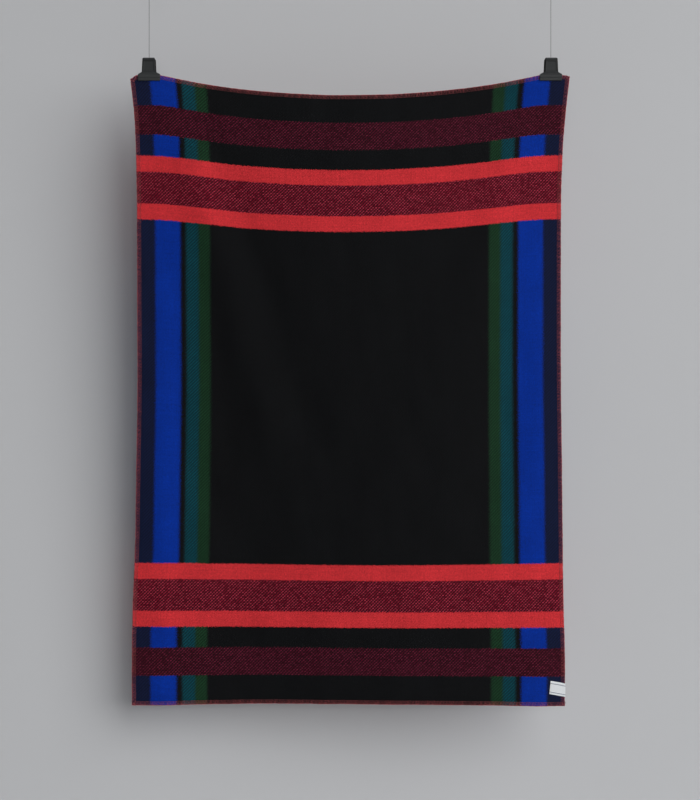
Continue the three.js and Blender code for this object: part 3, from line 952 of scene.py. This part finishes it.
def woolMaterial():
    material, tree, shader = newMaterial(
        "brushedWool", Specular_IOR_Level=wool["specular"], Sheen_Weight=wool["sheen"],
        Sheen_Roughness=wool["sheenRoughness"], Sheen_Tint=linear(*wool["sheenTone"]))
    where, across, down = clothCoordinates(tree)
    fibre = useGroup(tree, woolFibre, {"Vector": where})
    fuzz = addNode(tree, "ShaderNodeTexNoise", {"Vector": where, "Scale": 520.0, "Detail": 3.0})
    stray = addNode(tree, "ShaderNodeSeparateXYZ", {0: fuzz.outputs["Color"]}).outputs
    colours = plaidColours(tree, across, down, stray)
    weave = twillWeave(tree, across, down)
    isBand = colours["isBand"]
    isTwill = maths(tree, "SUBTRACT", isBand, colours["isFull"])

    # the nap hides part of the weave; a band lies on black warp, so the side stripes stop under it
    shown = mixValue(tree, isTwill, plaid["weaveShown"]["ground"], plaid["weaveShown"]["band"])
    onTop = maths(tree, "MULTIPLY_ADD", maths(tree, "SUBTRACT", weave["onTop"], 0.5), shown, 0.5)
    over = mixColour(tree, isBand, colours["weft"], colours["band"])
    under = mixColour(tree, isBand, colours["warp"], colours["underBand"])
    woven = mixColour(tree, colours["isFull"], mixColour(tree, onTop, under, over), colours["band"])

    # hairs, blotches, streaks and each float of yarn lighten and darken it
    spread = mixValue(tree, isTwill, plaid["floatTone"]["ground"], plaid["floatTone"]["band"])
    tone = maths(tree, "MULTIPLY_ADD", maths(tree, "SUBTRACT", weave["tone"], 0.5), spread, 1.0)
    tone = maths(tree, "MULTIPLY", tone, yarnStreaks(tree, across, down))
    for mask, limits in (("Hair", wool["hairTone"]), ("Blotch", wool["blotchTone"])):
        tone = maths(tree, "MULTIPLY", tone, mapRange(tree, fibre[mask], 0.3, 0.7, *limits))
    coloured = brightened(tree, woven, tone)

    # hairs that stand up are paler than their yarn; in a twill band the crossings get a painted highlight
    stand = mapRange(tree, stray[2], 0.54, 0.68, 0.0, wool["standShare"])
    pale = addNode(tree, "ShaderNodeHueSaturation", {
        "Saturation": mixValue(tree, isTwill, 1.0, wool["crossingSaturation"]),
        "Value": wool["palerBy"], "Color": coloured,
    }).outputs[0]
    colour = mixColour(tree, mixValue(tree, isTwill, stand, weave["litCrossings"]), coloured, pale)
    tree.links.new(colour, shader.inputs["Base Color"])
    rough = mapRange(tree, fibre["Hair"], 0.0, 1.0, *wool["roughness"])
    tree.links.new(rough, shader.inputs["Roughness"])
    nap = maths(tree, "MULTIPLY_ADD", fibre["Hair"], wool["napHeight"], weave["relief"])
    tree.links.new(bumpFrom(tree, nap, wool["napDepth"] * mm), shader.inputs["Normal"])
    return material


def yarnMaterial():
    material, tree, shader = newMaterial(
        "overlockYarn", Specular_IOR_Level=0.12, Sheen_Weight=0.15, Sheen_Roughness=0.5, Roughness=0.9)
    where = addNode(tree, "ShaderNodeTexCoord").outputs["Object"]
    fibre = useGroup(tree, woolFibre, {"Vector": where, "Hair Scale": 1500.0, "Blotch Scale": 30.0})
    dark, light = (linear(*tone) for tone in overlock["tones"])
    base = mixColour(tree, attributeValue(tree, "yarnTone"), dark, light)
    # the outer loops are fuzzier and paler, with a painted highlight, and the inner ones sink in the nap,
    # with painted shade
    edgeLightAndShade = mapRange(tree, attributeValue(tree, "edgeShare"), 0.0, 1.05, *overlock["edgeLightAndShade"])
    bright = maths(tree, "MULTIPLY", mapRange(tree, fibre["Hair"], 0.3, 0.7, 0.7, 1.2), edgeLightAndShade)
    tree.links.new(brightened(tree, base, bright), shader.inputs["Base Color"])
    tree.links.new(bumpFrom(tree, fibre["Hair"], 0.2 * mm), shader.inputs["Normal"])
    return material


blanket.data.materials.append(woolMaterial())
yarn = yarnMaterial()
stitchTree = overlockTree()
stitches = [makeOverlock(edge, stitchTree, yarn) for edge in ("top", "bottom", "left", "right")]
for piece in stitches:
    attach(piece, body)
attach(blanket, body)
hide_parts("blanket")
print("edge stitched,", sum(len(piece.data.polygons) for piece in stitches), "faces")


# Label: a woven strip folded over the right edge, its front leaf curling a little

label = {
    "leaf": 50,
    "height": 42,
    "thick": 0.6,
    "down": 1945,
    "tilt": 0.2,  # falls to the right, rise over run
    "lean": 0.09,  # of its short ends
    "off": 2.65,  # its inner face from the cloth's middle, clear of the edge stitches
    "overEdge": 1.35,
    "leanReach": 12,
    "curl": 2.6,
    "sag": 0.5,
    "stepsAlong": 34,
    "stepsUp": 20,
    "stitches": 9,
    "stitchIn": 4,
    "stitchMargin": 3,
    "stitchRadius": 0.28,
    "stitchShare": 0.72,  # of the pitch
    "stitchArch": 0.5,
    "stitchSunk": 0.35,
    "lines": (0.19, 0.84),  # their places, as shares of the height
    "lineWidth": 1.7,
    "borderShare": 0.06,
    "pick": 0.7,
    "tapeTone": (232, 235, 238),
    "borderTone": (243, 247, 252),
    "lineTone": (92, 102, 124),
}


def labelSection(layer):
    # places along the strip: how far in from the edge, how far off the middle, distance along
    off = label["off"] + layer
    over = label["overEdge"] + layer
    leaf = np.linspace(label["leaf"], 0, label["stepsAlong"])
    turn = np.linspace(0, math.pi, 9)[1:-1]
    inward = np.concatenate([leaf, -over * np.sin(turn), leaf[::-1]])
    height = np.concatenate([np.full(len(leaf), off), off * np.cos(turn), np.full(len(leaf), -off)])
    along = np.concatenate([leaf, np.zeros(len(turn)), -leaf[::-1]])
    return inward, height, along


def labelPoint(inward, height, rise):
    # rise is measured up the label from its middle
    along = np.clip(inward / label["leaf"], 0, 1)
    up = smooth(rise / label["height"] + 0.5)
    away = inward - label["leaf"] / 2
    lean = label["lean"] * rise * np.clip(inward / label["leanReach"], 0, 1)
    across = cloth["width"] / 2 - np.maximum(inward, 0) + lean
    down = label["down"] - rise - away * label["tilt"]
    sag = label["sag"] * np.sin(along * math.pi) * (1 - up)
    lift = label["curl"] * along**3 * (0.45 + 0.55 * up) + sag
    points = clothOffset(across, down, height + np.where(height > 0, lift, 0))
    points[..., 0] += np.maximum(-inward, 0)
    return points


def makeLabel():
    rises = np.linspace(-0.5, 0.5, label["stepsUp"] + 1) * label["height"]
    points = []
    flat = []
    for layer in (label["thick"], 0):
        inward, height, along = labelSection(layer)
        for rise in rises:
            points.append(labelPoint(inward, height, np.full(len(inward), rise)))
            flat.append(np.stack([along, np.full(len(along), rise)], axis=-1))
    rows = len(rises)
    columns = len(along)
    behind = rows * columns
    faces = bothFaces(rows, columns)
    ring = gridRing(rows, columns)
    for k, a in enumerate(ring):
        b = ring[(k + 1) % len(ring)]
        faces.append((a, b, b + behind, a + behind))
    return meshObject("label_tape", np.concatenate(points) * mm, faces, np.concatenate(flat) * mm)


def makeLabelStitches():
    # one short row near the end of each leaf
    run = label["height"] - 2 * label["stitchMargin"]
    pitch = run / label["stitches"]
    spread = np.linspace(-0.5, 0.5, 7) * label["stitchShare"] * pitch
    arch = np.cos(spread / pitch * math.pi) * label["stitchArch"] - label["stitchSunk"]
    inward = np.full(len(spread), label["leaf"] - label["stitchIn"])
    section = circle(label["stitchRadius"], 8)
    parts = []
    for facing in (1, -1):
        height = facing * (label["off"] + label["thick"] + arch)
        for n in range(label["stitches"]):
            line = labelPoint(inward, height, (n + 0.5) * pitch - run / 2 + spread)
            parts.append(sweepObject("stitch", [tuple(p) for p in line], lambda i: section))
    return joined("label_stitches", parts)


labelTape = makeLabel()
labelStitches = makeLabelStitches()
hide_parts("label")
for piece in (labelTape, labelStitches):
    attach(piece, body)
print("label sewn on")


# Clips: two moulded shells on a pin, with a spring, a yoke and the wire's ferrule

clip = {
    "jawBottomZ": -297,
    "jawWidth": 71,
    "jawTop": 20.3,
    "shoulder": 27.3,
    "bodyWidth": 44.4,
    "bodyTopWidth": 40,
    "height": 71.5,
    "corner": 5.5,
    "edgeRound": 0.9,
    "edgeLines": [0, 0.1, 0.3, 0.6, 1.0],  # closer grid lines, in from each edge
    "evenFrom": 1.4,  # where the even grid lines begin
    "blur": 0.35,  # of the height, for the face that stands there
    "rowStep": 0.7,
    "columns": 40,
    "panelDepth": 0.9,
    "panelMargin": 6,
    "panelFoot": 28.3,
    "panelTop": 60.5,
    "panelSlopes": {"side": 1.4, "foot": 1.6, "top": 1.2},
    "gripHeight": (1.2, 4.6),
    "gripDepth": 0.95,
    "gripRibs": 26,
    "gripWave": 0.25,  # how far the ribs swing, as a share of the depth
    "gripSoft": 0.8,
    "rimWidth": 4.2,
    "rimFall": 1.5,  # how far the outer face leans back at its side edges
    "rimRise": 4,
    "darkSide": 2.6,
    "darkSideSoft": 2.2,
    "darkTop": 6,
    "darkTopShare": 0.5,
    "highlightJaw": {"top": 20, "fade": 8, "share": 0.2},  # where the painted highlight lies, and how much
    "highlightTop": {"foot": 66, "fade": 2.5, "share": 0.4},
    "highlightLines": [  # painted highlight along the shoulder and along the groove
        {"height": 23.5, "half": 4, "share": 0.35},
        {"height": 10.8, "half": 1.6, "share": 0.3},
    ],
    # the colour of the painted highlight
    "highlightTone": (74, 76, 77),
    "darkTone": (17, 18, 19),
    "specular": 0.28,
}

# Side section of a shell: how far out its outer and inner faces stand, by height
shellRows = [
    {"height": 0, "outer": 5.2, "inner": 2.5},
    {"height": 2, "outer": 6.6, "inner": 2.5},
    {"height": 7, "outer": 6.9, "inner": 2.5},
    {"height": 8.4, "outer": 5.6, "inner": 2.5},
    {"height": 10, "outer": 5.6, "inner": 2.5},
    {"height": 11.4, "outer": 7.4, "inner": 2.5},
    {"height": 17, "outer": 7.8, "inner": 2.5},
    {"height": 21, "outer": 8.8, "inner": 3.1},
    {"height": 26, "outer": 11.6, "inner": 7.6},
    {"height": 32, "outer": 13.6, "inner": 11},
    {"height": 46, "outer": 15, "inner": 12.8},
    {"height": 61, "outer": 16.2, "inner": 14},
    {"height": 62.2, "outer": 15.5, "inner": 14.1},
    {"height": 63.8, "outer": 15.5, "inner": 14.1},
    {"height": 65, "outer": 16.6, "inner": 14},
    {"height": 69, "outer": 16.2, "inner": 13.4},
    {"height": 71.5, "outer": 14.6, "inner": 12.6},
]

pivot = {
    "height": 37,
    "radius": 2,
    "headRadius": 3,
    "headThick": 1.4,
    "earThick": 1.5,
    "earRadius": 4,
    "earLength": 13,
    "earFoot": 7,  # half its width on the shell
    "frontEarX": 17.5,
    "backEarX": 15.4,
    "gap": 0.3,
}

yoke = {"legX": 9, "thick": 1.5, "depth": 8, "top": 56, "bend": 2.2, "foot": 32}
spring = {"wire": 1.2, "radius": 3.1, "pitch": 1.55, "turns": 6, "leg": 17, "lean": 0.58, "steps": 26}
ferrule = {
    "radius": 2.6,
    "neck": 1.7,
    "headHeight": 3,
    "top": 67,
    "crimps": (1.6, 4.8),  # above the yoke
    "crimpWidth": 2.6,
    "crimpDepth": 0.35,
}


def bend(start, control, end, steps):
    # points of a quadratic curve after its start
    k = np.linspace(0, 1, steps + 1)[1:, None]
    start, control, end = (np.array(p, dtype=float) for p in (start, control, end))
    return (1 - k) ** 2 * start + 2 * k * (1 - k) * control + k**2 * end


def shellOutline():
    # right half of the front outline, as (x, height) from the jaw's lower edge to the top
    jaw = clip["jawWidth"] / 2
    low = clip["bodyWidth"] / 2
    high = clip["bodyTopWidth"] / 2
    jawTop = clip["jawTop"]
    shoulder = clip["shoulder"]
    top = clip["height"]
    corner = clip["corner"]
    return np.concatenate([
        [(jaw - 1, 0)],
        bend((jaw - 1, 0), (jaw, 0), (jaw, 1), 4),
        [(jaw, jawTop - 3)],
        bend((jaw, jawTop - 3), (jaw, jawTop + 1), (jaw - 4, jawTop + 2), 8),
        [(low + 1.5, shoulder - 1)],
        bend((low + 1.5, shoulder - 1), (low, shoulder), (low - 0.2, shoulder + 3), 8),
        [(high, top - corner)],
        bend((high, top - corner), (high, top), (high - corner, top), 10),
    ])


def shellFace(face, height):
    # how far out a face stands at a height, a little smoothed
    near = height + np.array([-clip["blur"], 0, clip["blur"]])
    heights = [row["height"] for row in shellRows]
    return np.interp(near, heights, [row[face] for row in shellRows]).mean()


def gripDepth(x, height):
    # upright ribs along the inner face of the jaw
    low, high = clip["gripHeight"]
    wave = np.sin(x / clip["jawWidth"] * 2 * math.pi * clip["gripRibs"])
    rib = (1 - clip["gripWave"]) + clip["gripWave"] * wave
    foot = smooth((height - low) / clip["gripSoft"] + 1)
    top = smooth((high - height) / clip["gripSoft"])
    return clip["gripDepth"] * rib * foot * top


def shellGrid(facing):
    # points of one shell: an outer and an inner face that meet round the edge
    outline = shellOutline()
    top = clip["height"]
    close = np.array(clip["edgeLines"])
    heights = np.unique(np.round(np.concatenate([
        close, top - close, outline[:, 1], np.arange(clip["evenFrom"], top - 1, clip["rowStep"]),
    ]), 3))
    half = np.interp(heights, outline[:, 1], outline[:, 0])
    half[-1] = outline[-1, 0]
    slope = np.abs(np.gradient(half, heights))
    inside = np.linspace(0, 1, clip["columns"] + 1)[:-1]
    grid = {"outer": [], "inner": []}
    for n, height in enumerate(heights):
        reach = half[n]
        right = np.concatenate([inside * (reach - clip["evenFrom"]), reach - close[::-1]])
        x = np.concatenate([-right[:0:-1], right])
        aside = (reach - np.abs(x)) / math.hypot(1, slope[n])
        edge = np.minimum(aside, min(height, top - height))
        edgeRound = np.sqrt(1 - (1 - np.clip(edge / clip["edgeRound"], 0, 1)) ** 2)
        outer = shellFace("outer", height)
        inner = shellFace("inner", height) - gripDepth(x, height)
        middle = (outer + inner) / 2
        halfThick = (outer - inner) / 2
        rimY = clip["rimFall"] * rimShare(aside, height)
        outerY = middle + halfThick * edgeRound - panelSink(x, height) - rimY
        innerY = middle - halfThick * edgeRound
        for name, y in (("outer", outerY), ("inner", innerY)):
            grid[name].append(np.stack([x * facing, -y * facing, np.full(len(x), height)], axis=-1))
    return np.array(grid["outer"]), np.array(grid["inner"])


def rimShare(aside, height):
    # 1 at the side edges of the body above the jaw, 0 inside them
    above = smooth((height - clip["shoulder"]) / clip["rimRise"])
    return above * (1 - smooth(aside / clip["rimWidth"])) ** 2


def panelSink(x, height):
    # the outer face is sunk between its side edges, its shoulder and its top band
    share = (height - clip["panelFoot"]) / (clip["panelTop"] - clip["panelFoot"])
    low = clip["bodyWidth"] / 2 - clip["panelMargin"]
    high = clip["bodyTopWidth"] / 2 - clip["panelMargin"]
    half = low + (high - low) * share
    slopes = clip["panelSlopes"]
    beside = smooth((half - np.abs(x)) / slopes["side"] + 0.5)
    foot = smooth((height - clip["panelFoot"]) / slopes["foot"])
    top = smooth((clip["panelTop"] - height) / slopes["top"])
    return clip["panelDepth"] * beside * foot * top


def earPart(x, facing):
    # bored ear that reaches from the shell to the pin
    count = 40
    bore = pivot["radius"] + pivot["gap"]
    slope = (pivot["earFoot"] - pivot["earRadius"]) / pivot["earLength"]
    outer = []
    inner = []
    for u, v in circle(1, count):
        reach = pivot["earRadius"]
        if u < 0:
            edge = pivot["earRadius"] / max(abs(v) + u * slope, 1e-6)
            reach = min(edge, pivot["earLength"] / -u)
        outer.append((u * reach, v * reach))
        inner.append((u * bore, v * bore))
    points = []
    for side in (x, x + math.copysign(pivot["earThick"], x)):
        for u, v in outer + inner:
            points.append(Vector((side * facing, u * facing, pivot["height"] + v)) * mm)
    faces = []
    for a in range(count):
        b = (a + 1) % count
        faces.append((a, b, count + b, count + a))
        faces.append((2 * count + a, 3 * count + a, 3 * count + b, 2 * count + b))
        faces.append((a, 2 * count + a, 2 * count + b, b))
        faces.append((count + a, count + b, 3 * count + b, 3 * count + a))
    return meshObject("ear", points, faces, shadeSmooth=False)


def shellShade(aside, height):
    # the side edges and the band at the top are darker than the panel between them
    above = smooth((height - clip["shoulder"] + 2) / 3)
    side = 1 - smooth((aside - clip["darkSide"]) / clip["darkSideSoft"])
    top = smooth((height - clip["panelTop"] + 1.5) / 1.5)
    top = top * smooth((clip["height"] - clip["darkTop"] - height) / 2)
    return above * np.maximum(side, clip["darkTopShare"] * top)


def shellPaintedHighlight(height):
    # painted highlight: the jaw is painted a little paler than the body, most along its shoulder and its
    # groove, and the top edge is painted paler too
    jaw = clip["highlightJaw"]
    top = clip["highlightTop"]
    paintedLight = jaw["share"] * (1 - smooth((height - jaw["top"]) / jaw["fade"]))
    paintedLight = paintedLight + top["share"] * smooth((height - top["foot"]) / top["fade"])
    for line in clip["highlightLines"]:
        paintedLight = paintedLight + line["share"] * np.maximum(0, 1 - np.abs(height - line["height"]) / line["half"])
    return paintedLight


def makeShell(name, facing):
    outer, inner = shellGrid(facing)
    points = np.concatenate([outer.reshape(-1, 3), inner.reshape(-1, 3)]) * mm
    plate = meshObject(name + "_plate", points, bothFaces(*outer.shape[:2]))
    spots = np.array([vertex.co for vertex in plate.data.vertices]) / mm
    heights = spots[:, 2]
    outline = shellOutline()
    aside = np.interp(heights, outline[:, 1], outline[:, 0]) - np.abs(spots[:, 0])
    # the paler tone is a painted highlight on jaw, shoulder, groove and top edge
    tones = {"rimShade": shellShade(aside, heights), "paintedHighlightShare": shellPaintedHighlight(heights)}
    for tone, values in tones.items():
        attribute = plate.data.attributes.new(tone, "FLOAT", "POINT")
        attribute.data.foreach_set("value", values.astype(np.float32))
    earX = pivot["frontEarX"] if facing > 0 else pivot["backEarX"]
    return joined(name, [plate, earPart(earX, facing), earPart(-earX, facing)])


def makePin(name):
    inner = pivot["frontEarX"] + pivot["earThick"] + pivot["gap"]
    end = inner + pivot["headThick"]
    head = pivot["headRadius"]
    half = [(pivot["radius"], 0), (pivot["radius"], inner), (head - 0.2, inner), (head, inner + 0.2),
            (head, end - 0.5), (head - 0.25, end - 0.15), (head - 0.7, end), (0, end)]
    profile = [(r, -z) for r, z in reversed(half[1:])] + half[1:]
    return latheObject(name, profile, 40, axis="X", place=(0, 0, pivot["height"]))


def makeSpring(name):
    width = spring["pitch"] * spring["turns"]

    def leg(side, out):
        return (side * width / 2, side * (spring["radius"] + out * math.sin(spring["lean"])),
                pivot["height"] + out * math.cos(spring["lean"]))

    shares = (0.06, 0.2, 0.4, 0.6, 0.8, 1)
    path = [leg(-1, spring["leg"] * k) for k in reversed(shares)]
    count = int(spring["steps"] * (spring["turns"] + 0.5))
    for k in range(count + 1):
        angle = math.pi + 2 * math.pi * (spring["turns"] + 0.5) * k / count
        path.append(((k / count - 0.5) * width, spring["radius"] * math.cos(angle),
                     pivot["height"] + spring["radius"] * math.sin(angle)))
    path += [leg(1, spring["leg"] * k) for k in shares]
    return sweepObject(name, path, lambda i: circle(spring["wire"] / 2, 12))


def makeYoke(name):
    # flat strap bent to a bridge over the spring, its corners rounded
    middle = yoke["legX"] + yoke["thick"] / 2
    top = yoke["top"] - yoke["thick"] / 2
    radius = yoke["bend"]
    right = [(middle, z) for z in np.linspace(yoke["foot"], top - radius, 6)]
    right += [tuple(p) for p in bend((middle, top - radius), (middle, top), (middle - radius, top), 8)]
    half = [(x, 0, z) for x, z in right]
    path = [(-x, y, z) for x, y, z in half] + half[::-1]
    soft = 0.3
    u = yoke["thick"] / 2
    v = yoke["depth"] / 2
    section = [(u, v - soft), (u - soft, v), (soft - u, v), (-u, v - soft),
               (-u, soft - v), (soft - u, -v), (u - soft, -v), (u, soft - v)]
    return sweepObject(name, path, lambda i: section, side=(1, 0, 0))


def makeFerrule(name):
    under = yoke["top"] - yoke["thick"] - pivot["gap"]
    over = yoke["top"] + pivot["gap"]
    radius = ferrule["radius"]
    head = radius + 1
    foot = under - ferrule["headHeight"]
    profile = [(0, foot), (head - 0.4, foot), (head, foot + 0.4), (head, under - 0.3),
               (head - 0.3, under), (ferrule["neck"], under), (ferrule["neck"], over),
               (radius - 0.2, over), (radius, over + 0.2)]
    for above in ferrule["crimps"]:
        for share in np.linspace(0, 1, 9):
            dent = ferrule["crimpDepth"] * math.sin(share * math.pi) ** 2
            profile.append((radius - dent, over + above + share * ferrule["crimpWidth"]))
    profile += [(radius, ferrule["top"] - 0.9), (radius - 0.3, ferrule["top"] - 0.35),
                (radius - 0.8, ferrule["top"]), (0, ferrule["top"])]
    return latheObject(name, profile, 36)


def makeClip(side, x):
    makers = {
        "clip_front": ("front_shell", lambda name: makeShell(name, 1)),
        "clip_back": ("back_shell", lambda name: makeShell(name, -1)),
        "clip_pin": ("pivot_pin", makePin),
        "clip_spring": ("coil_spring", makeSpring),
        "clip_yoke": ("yoke_strap", makeYoke),
        "ferrule": ("crimped_ferrule", makeFerrule),
    }
    pieces = {}
    for node, (title, make) in makers.items():
        obj = make(f"{side}_{title}")
        obj.data.transform(Matrix.Translation((x * mm, 0, clip["jawBottomZ"] * mm)))
        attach(obj, body)
        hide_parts(f"{side}_{node}")
        pieces[node] = obj
    return pieces


clips = {side: makeClip(side, x) for side, x in sides.items()}
print("clips assembled")


# Ceiling cups

cup = {"radius": 14, "height": 25, "sides": 64}


def makeCup(side, x):
    deep = cup["height"]
    wide = cup["radius"]
    profile = [(0, -deep), (2.2, -deep), (2.6, -deep + 0.4), (3.2, -deep + 5)]
    profile += [tuple(p) for p in bend((3.2, -deep + 5), (3.6, -deep + 7.4), (8.2, -deep + 8), 8)]
    profile += [tuple(p) for p in bend((8.2, -deep + 8), (9.1, -deep + 8.2), (9.2, -deep + 9.4), 5)]
    profile += [(9.5, -4.2)]
    profile += [tuple(p) for p in bend((9.5, -4.2), (9.6, -3), (10.6, -2.9), 5)]
    profile += [(wide - 0.6, -2.5), (wide, -1.9), (wide, -0.4), (wide - 0.4, 0), (0, 0)]
    obj = latheObject(f"{side}_cup_turned", profile, cup["sides"], place=(x, 0, 0))
    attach(obj, body)
    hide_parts(f"{side}_ceiling_cup")
    return obj


cups = {side: makeCup(side, x) for side, x in sides.items()}
print("cups turned")


# Metal, painted shells and wire

hardFinishes = {
    "clip": {"name": "clipShell", "tone": (39, 41, 42), "scuffed": (50, 52, 54),
             "roughness": 0.5, "metallic": 0.0, "grainDepth": 0.06},
    "steel": {"name": "clipSteel", "tone": (96, 98, 100), "scuffed": (78, 79, 81),
              "roughness": 0.3, "metallic": 1.0, "grainDepth": 0.02},
    "wire": {"name": "wireSteel", "tone": (22, 23, 24), "scuffed": (16, 17, 18),
             "roughness": 0.5, "metallic": 1.0, "grainDepth": 0.02},
    "cup": {"name": "cupMetal", "tone": (150, 152, 154), "scuffed": (128, 129, 131),
            "roughness": 0.32, "metallic": 1.0, "grainDepth": 0.03},
    "thread": {"name": "labelThread", "tone": (232, 230, 224), "scuffed": (214, 211, 204),
               "roughness": 0.8, "metallic": 0.0, "grainDepth": 0.05},
}


def hardMaterial(finish):
    material, tree, shader = newMaterial(finish["name"], Metallic=finish["metallic"])
    wear = useGroup(tree, surfaceWear)
    scuff = maths(tree, "MULTIPLY", wear["Scuff"], 0.35)
    base = mixColour(tree, scuff, linear(*finish["tone"]), linear(*finish["scuffed"]))
    tree.links.new(base, shader.inputs["Base Color"])
    smoothest = finish["roughness"]
    rough = mapRange(tree, wear["Scuff"], 0.0, 1.0, smoothest, smoothest + 0.15)
    tree.links.new(rough, shader.inputs["Roughness"])
    tree.links.new(bumpFrom(tree, wear["Grain"], finish["grainDepth"] * mm), shader.inputs["Normal"])
    return material


def tintShell(material):
    # the clips' shells are painted paler where a painted highlight lies, and darker at their side edges
    tree = material.node_tree
    shader = tree.nodes["Principled BSDF"]
    shader.inputs["Specular IOR Level"].default_value = clip["specular"]
    base = shader.inputs["Base Color"].links[0].from_socket
    base = mixColour(tree, attributeValue(tree, "paintedHighlightShare"), base, linear(*clip["highlightTone"]))
    base = mixColour(tree, attributeValue(tree, "rimShade"), base, linear(*clip["darkTone"]))
    tree.links.new(base, shader.inputs["Base Color"])


def labelMaterial():
    # white woven tape with closer borders and two thin lines along it
    material, tree, shader = newMaterial(
        "labelTape", Specular_IOR_Level=0.2, Sheen_Weight=0.1, Roughness=0.8)
    where, along, rise = clothCoordinates(tree)
    half = label["height"] / 2 * mm
    share = maths(tree, "DIVIDE", maths(tree, "SUBTRACT", half, rise), 2 * half)

    def awayFrom(place):
        return maths(tree, "ABSOLUTE", maths(tree, "SUBTRACT", share, place))

    def lineAt(place):
        return maths(tree, "LESS_THAN", awayFrom(place), label["lineWidth"] / label["height"] / 2)

    lines = maths(tree, "MAXIMUM", *[lineAt(place) for place in label["lines"]])
    border = maths(tree, "GREATER_THAN", awayFrom(0.5), 0.5 - label["borderShare"])
    tape = mixColour(tree, border, linear(*label["tapeTone"]), linear(*label["borderTone"]))
    tape = mixColour(tree, lines, tape, linear(*label["lineTone"]))
    grain = addNode(tree, "ShaderNodeTexNoise", {"Vector": where, "Scale": 1600.0, "Detail": 2.0})
    grain = grain.outputs["Fac"]
    colour = brightened(tree, tape, mapRange(tree, grain, 0.3, 0.7, 0.86, 1.05))
    tree.links.new(colour, shader.inputs["Base Color"])
    pick = 2 * math.pi / (label["pick"] * mm)
    weft = maths(tree, "SINE", maths(tree, "MULTIPLY", rise, pick))
    warp = maths(tree, "SINE", maths(tree, "MULTIPLY", along, pick))
    relief = maths(tree, "MULTIPLY_ADD", maths(tree, "MULTIPLY", weft, warp), 0.5, grain)
    tree.links.new(bumpFrom(tree, relief, 0.15 * mm), shader.inputs["Normal"])
    return material


finishes = {name: hardMaterial(finish) for name, finish in hardFinishes.items()}
finishes["label"] = labelMaterial()
tintShell(finishes["clip"])


def dress(obj, finish):
    obj.data.materials.clear()
    obj.data.materials.append(finishes[finish])


for side in sides:
    for node, piece in clips[side].items():
        dress(piece, "clip" if node in ("clip_front", "clip_back") else "steel")
    dress(wires[side][0], "wire")
    dress(cups[side], "cup")
dress(labelTape, "label")
dress(labelStitches, "thread")
print("hard parts dressed")


# Room: a pale wall close behind, a pale floor and soft light

room = {
    "jawsZ": -0.3,
    "wallBehindJaws": 0.32,
    "wallBehindHem": 0.205,
    "wallTurn": 0.07,  # further back per metre to the right
    "wallHalf": 5.0,
    "wallTop": 2.0,
    "floorZ": -2.75,
    "floorFront": -9.0,
    "tones": ((196, 197, 199), (199, 200, 202)),
}

sky = {
    "tone": (200, 202, 205),
    "strength": 0.03,
    "seenTone": (176, 178, 180),  # behind the room, in other views
}

lights = {
    "key": {"from": (0.604, -0.695, 0.391), "distance": 18.0, "size": 18.0, "power": 2880},
    "fill": {"from": (0.02, -1, 0.06), "distance": 12.0, "size": 3.0, "power": 202},
    "back": {"from": (-0.3, 1, 0.35), "distance": 4.0, "size": 2.5, "power": 60},
}


def stageMaterial():
    # seen from its front only, so that a view from behind looks through
    material, tree, shader = newMaterial("paleWall", Roughness=0.95, Specular_IOR_Level=0.1)
    where = addNode(tree, "ShaderNodeTexCoord").outputs["Object"]
    cloud = addNode(tree, "ShaderNodeTexNoise", {"Vector": where, "Scale": 0.8, "Detail": 2.0})
    base = mixColour(tree, cloud.outputs["Fac"], *[linear(*tone) for tone in room["tones"]])
    tree.links.new(base, shader.inputs["Base Color"])
    clear = tree.nodes.new("ShaderNodeBsdfTransparent")
    behind = addNode(tree, "ShaderNodeNewGeometry").outputs["Backfacing"]
    shadow = addNode(tree, "ShaderNodeLightPath").outputs["Is Shadow Ray"]
    either = maths(tree, "MAXIMUM", behind, shadow)
    mix = addNode(tree, "ShaderNodeMixShader", {0: either, 1: shader.outputs[0], 2: clear.outputs[0]})
    tree.links.new(mix.outputs[0], tree.nodes["Material Output"].inputs["Surface"])
    return material


def wallSpot(x, z):
    # the wall leans and turns a little against the hung cloth
    lean = (room["wallBehindJaws"] - room["wallBehindHem"]) / (cloth["length"] * mm)
    return (x, room["wallBehindJaws"] + (z - room["jawsZ"]) * lean + x * room["wallTurn"], z)


def makeRoom():
    half = room["wallHalf"]
    low = room["floorZ"]
    high = room["wallTop"]
    foot = [wallSpot(-half, low), wallSpot(half, low)]
    planes = {
        "room_wall": foot + [wallSpot(half, high), wallSpot(-half, high)],
        "room_floor": [(-half, room["floorFront"], low), (half, room["floorFront"], low)] + foot[::-1],
    }
    material = stageMaterial()
    for name, corners in planes.items():
        mesh = bpy.data.meshes.new(name)
        mesh.from_pydata(corners, [], [(0, 1, 2, 3)])
        mesh.materials.append(material)
        obj = addObject(name, mesh)


def areaLight(name, light):
    data = bpy.data.lights.new(name, "AREA")
    data.size = light["size"]
    data.energy = light["power"]
    obj = addObject(name, data)
    towards = Vector(light["from"]).normalized()
    obj.location = Vector((0, 0, camera["lookHeight"] * mm)) + towards * light["distance"]
    obj.rotation_euler = towards.to_track_quat("Z", "Y").to_euler()


def makeSky():
    # dim for all but the camera, so that only the lights shade the cloth
    world = bpy.data.worlds.new("world")
    world.use_nodes = True
    tree = world.node_tree
    dim = tree.nodes["Background"]
    dim.inputs["Color"].default_value = linear(*sky["tone"])
    dim.inputs["Strength"].default_value = sky["strength"]
    pale = addNode(tree, "ShaderNodeBackground", {"Color": linear(*sky["seenTone"])})
    seen = addNode(tree, "ShaderNodeLightPath").outputs["Is Camera Ray"]
    mix = addNode(tree, "ShaderNodeMixShader", {0: seen, 1: dim.outputs[0], 2: pale.outputs[0]})
    tree.links.new(mix.outputs[0], tree.nodes["World Output"].inputs["Surface"])
    bpy.context.scene.world = world


makeRoom()
makeSky()
for name, light in lights.items():
    areaLight(name, light)
bpy.context.scene.view_settings.view_transform = "Standard"
print("room lit")
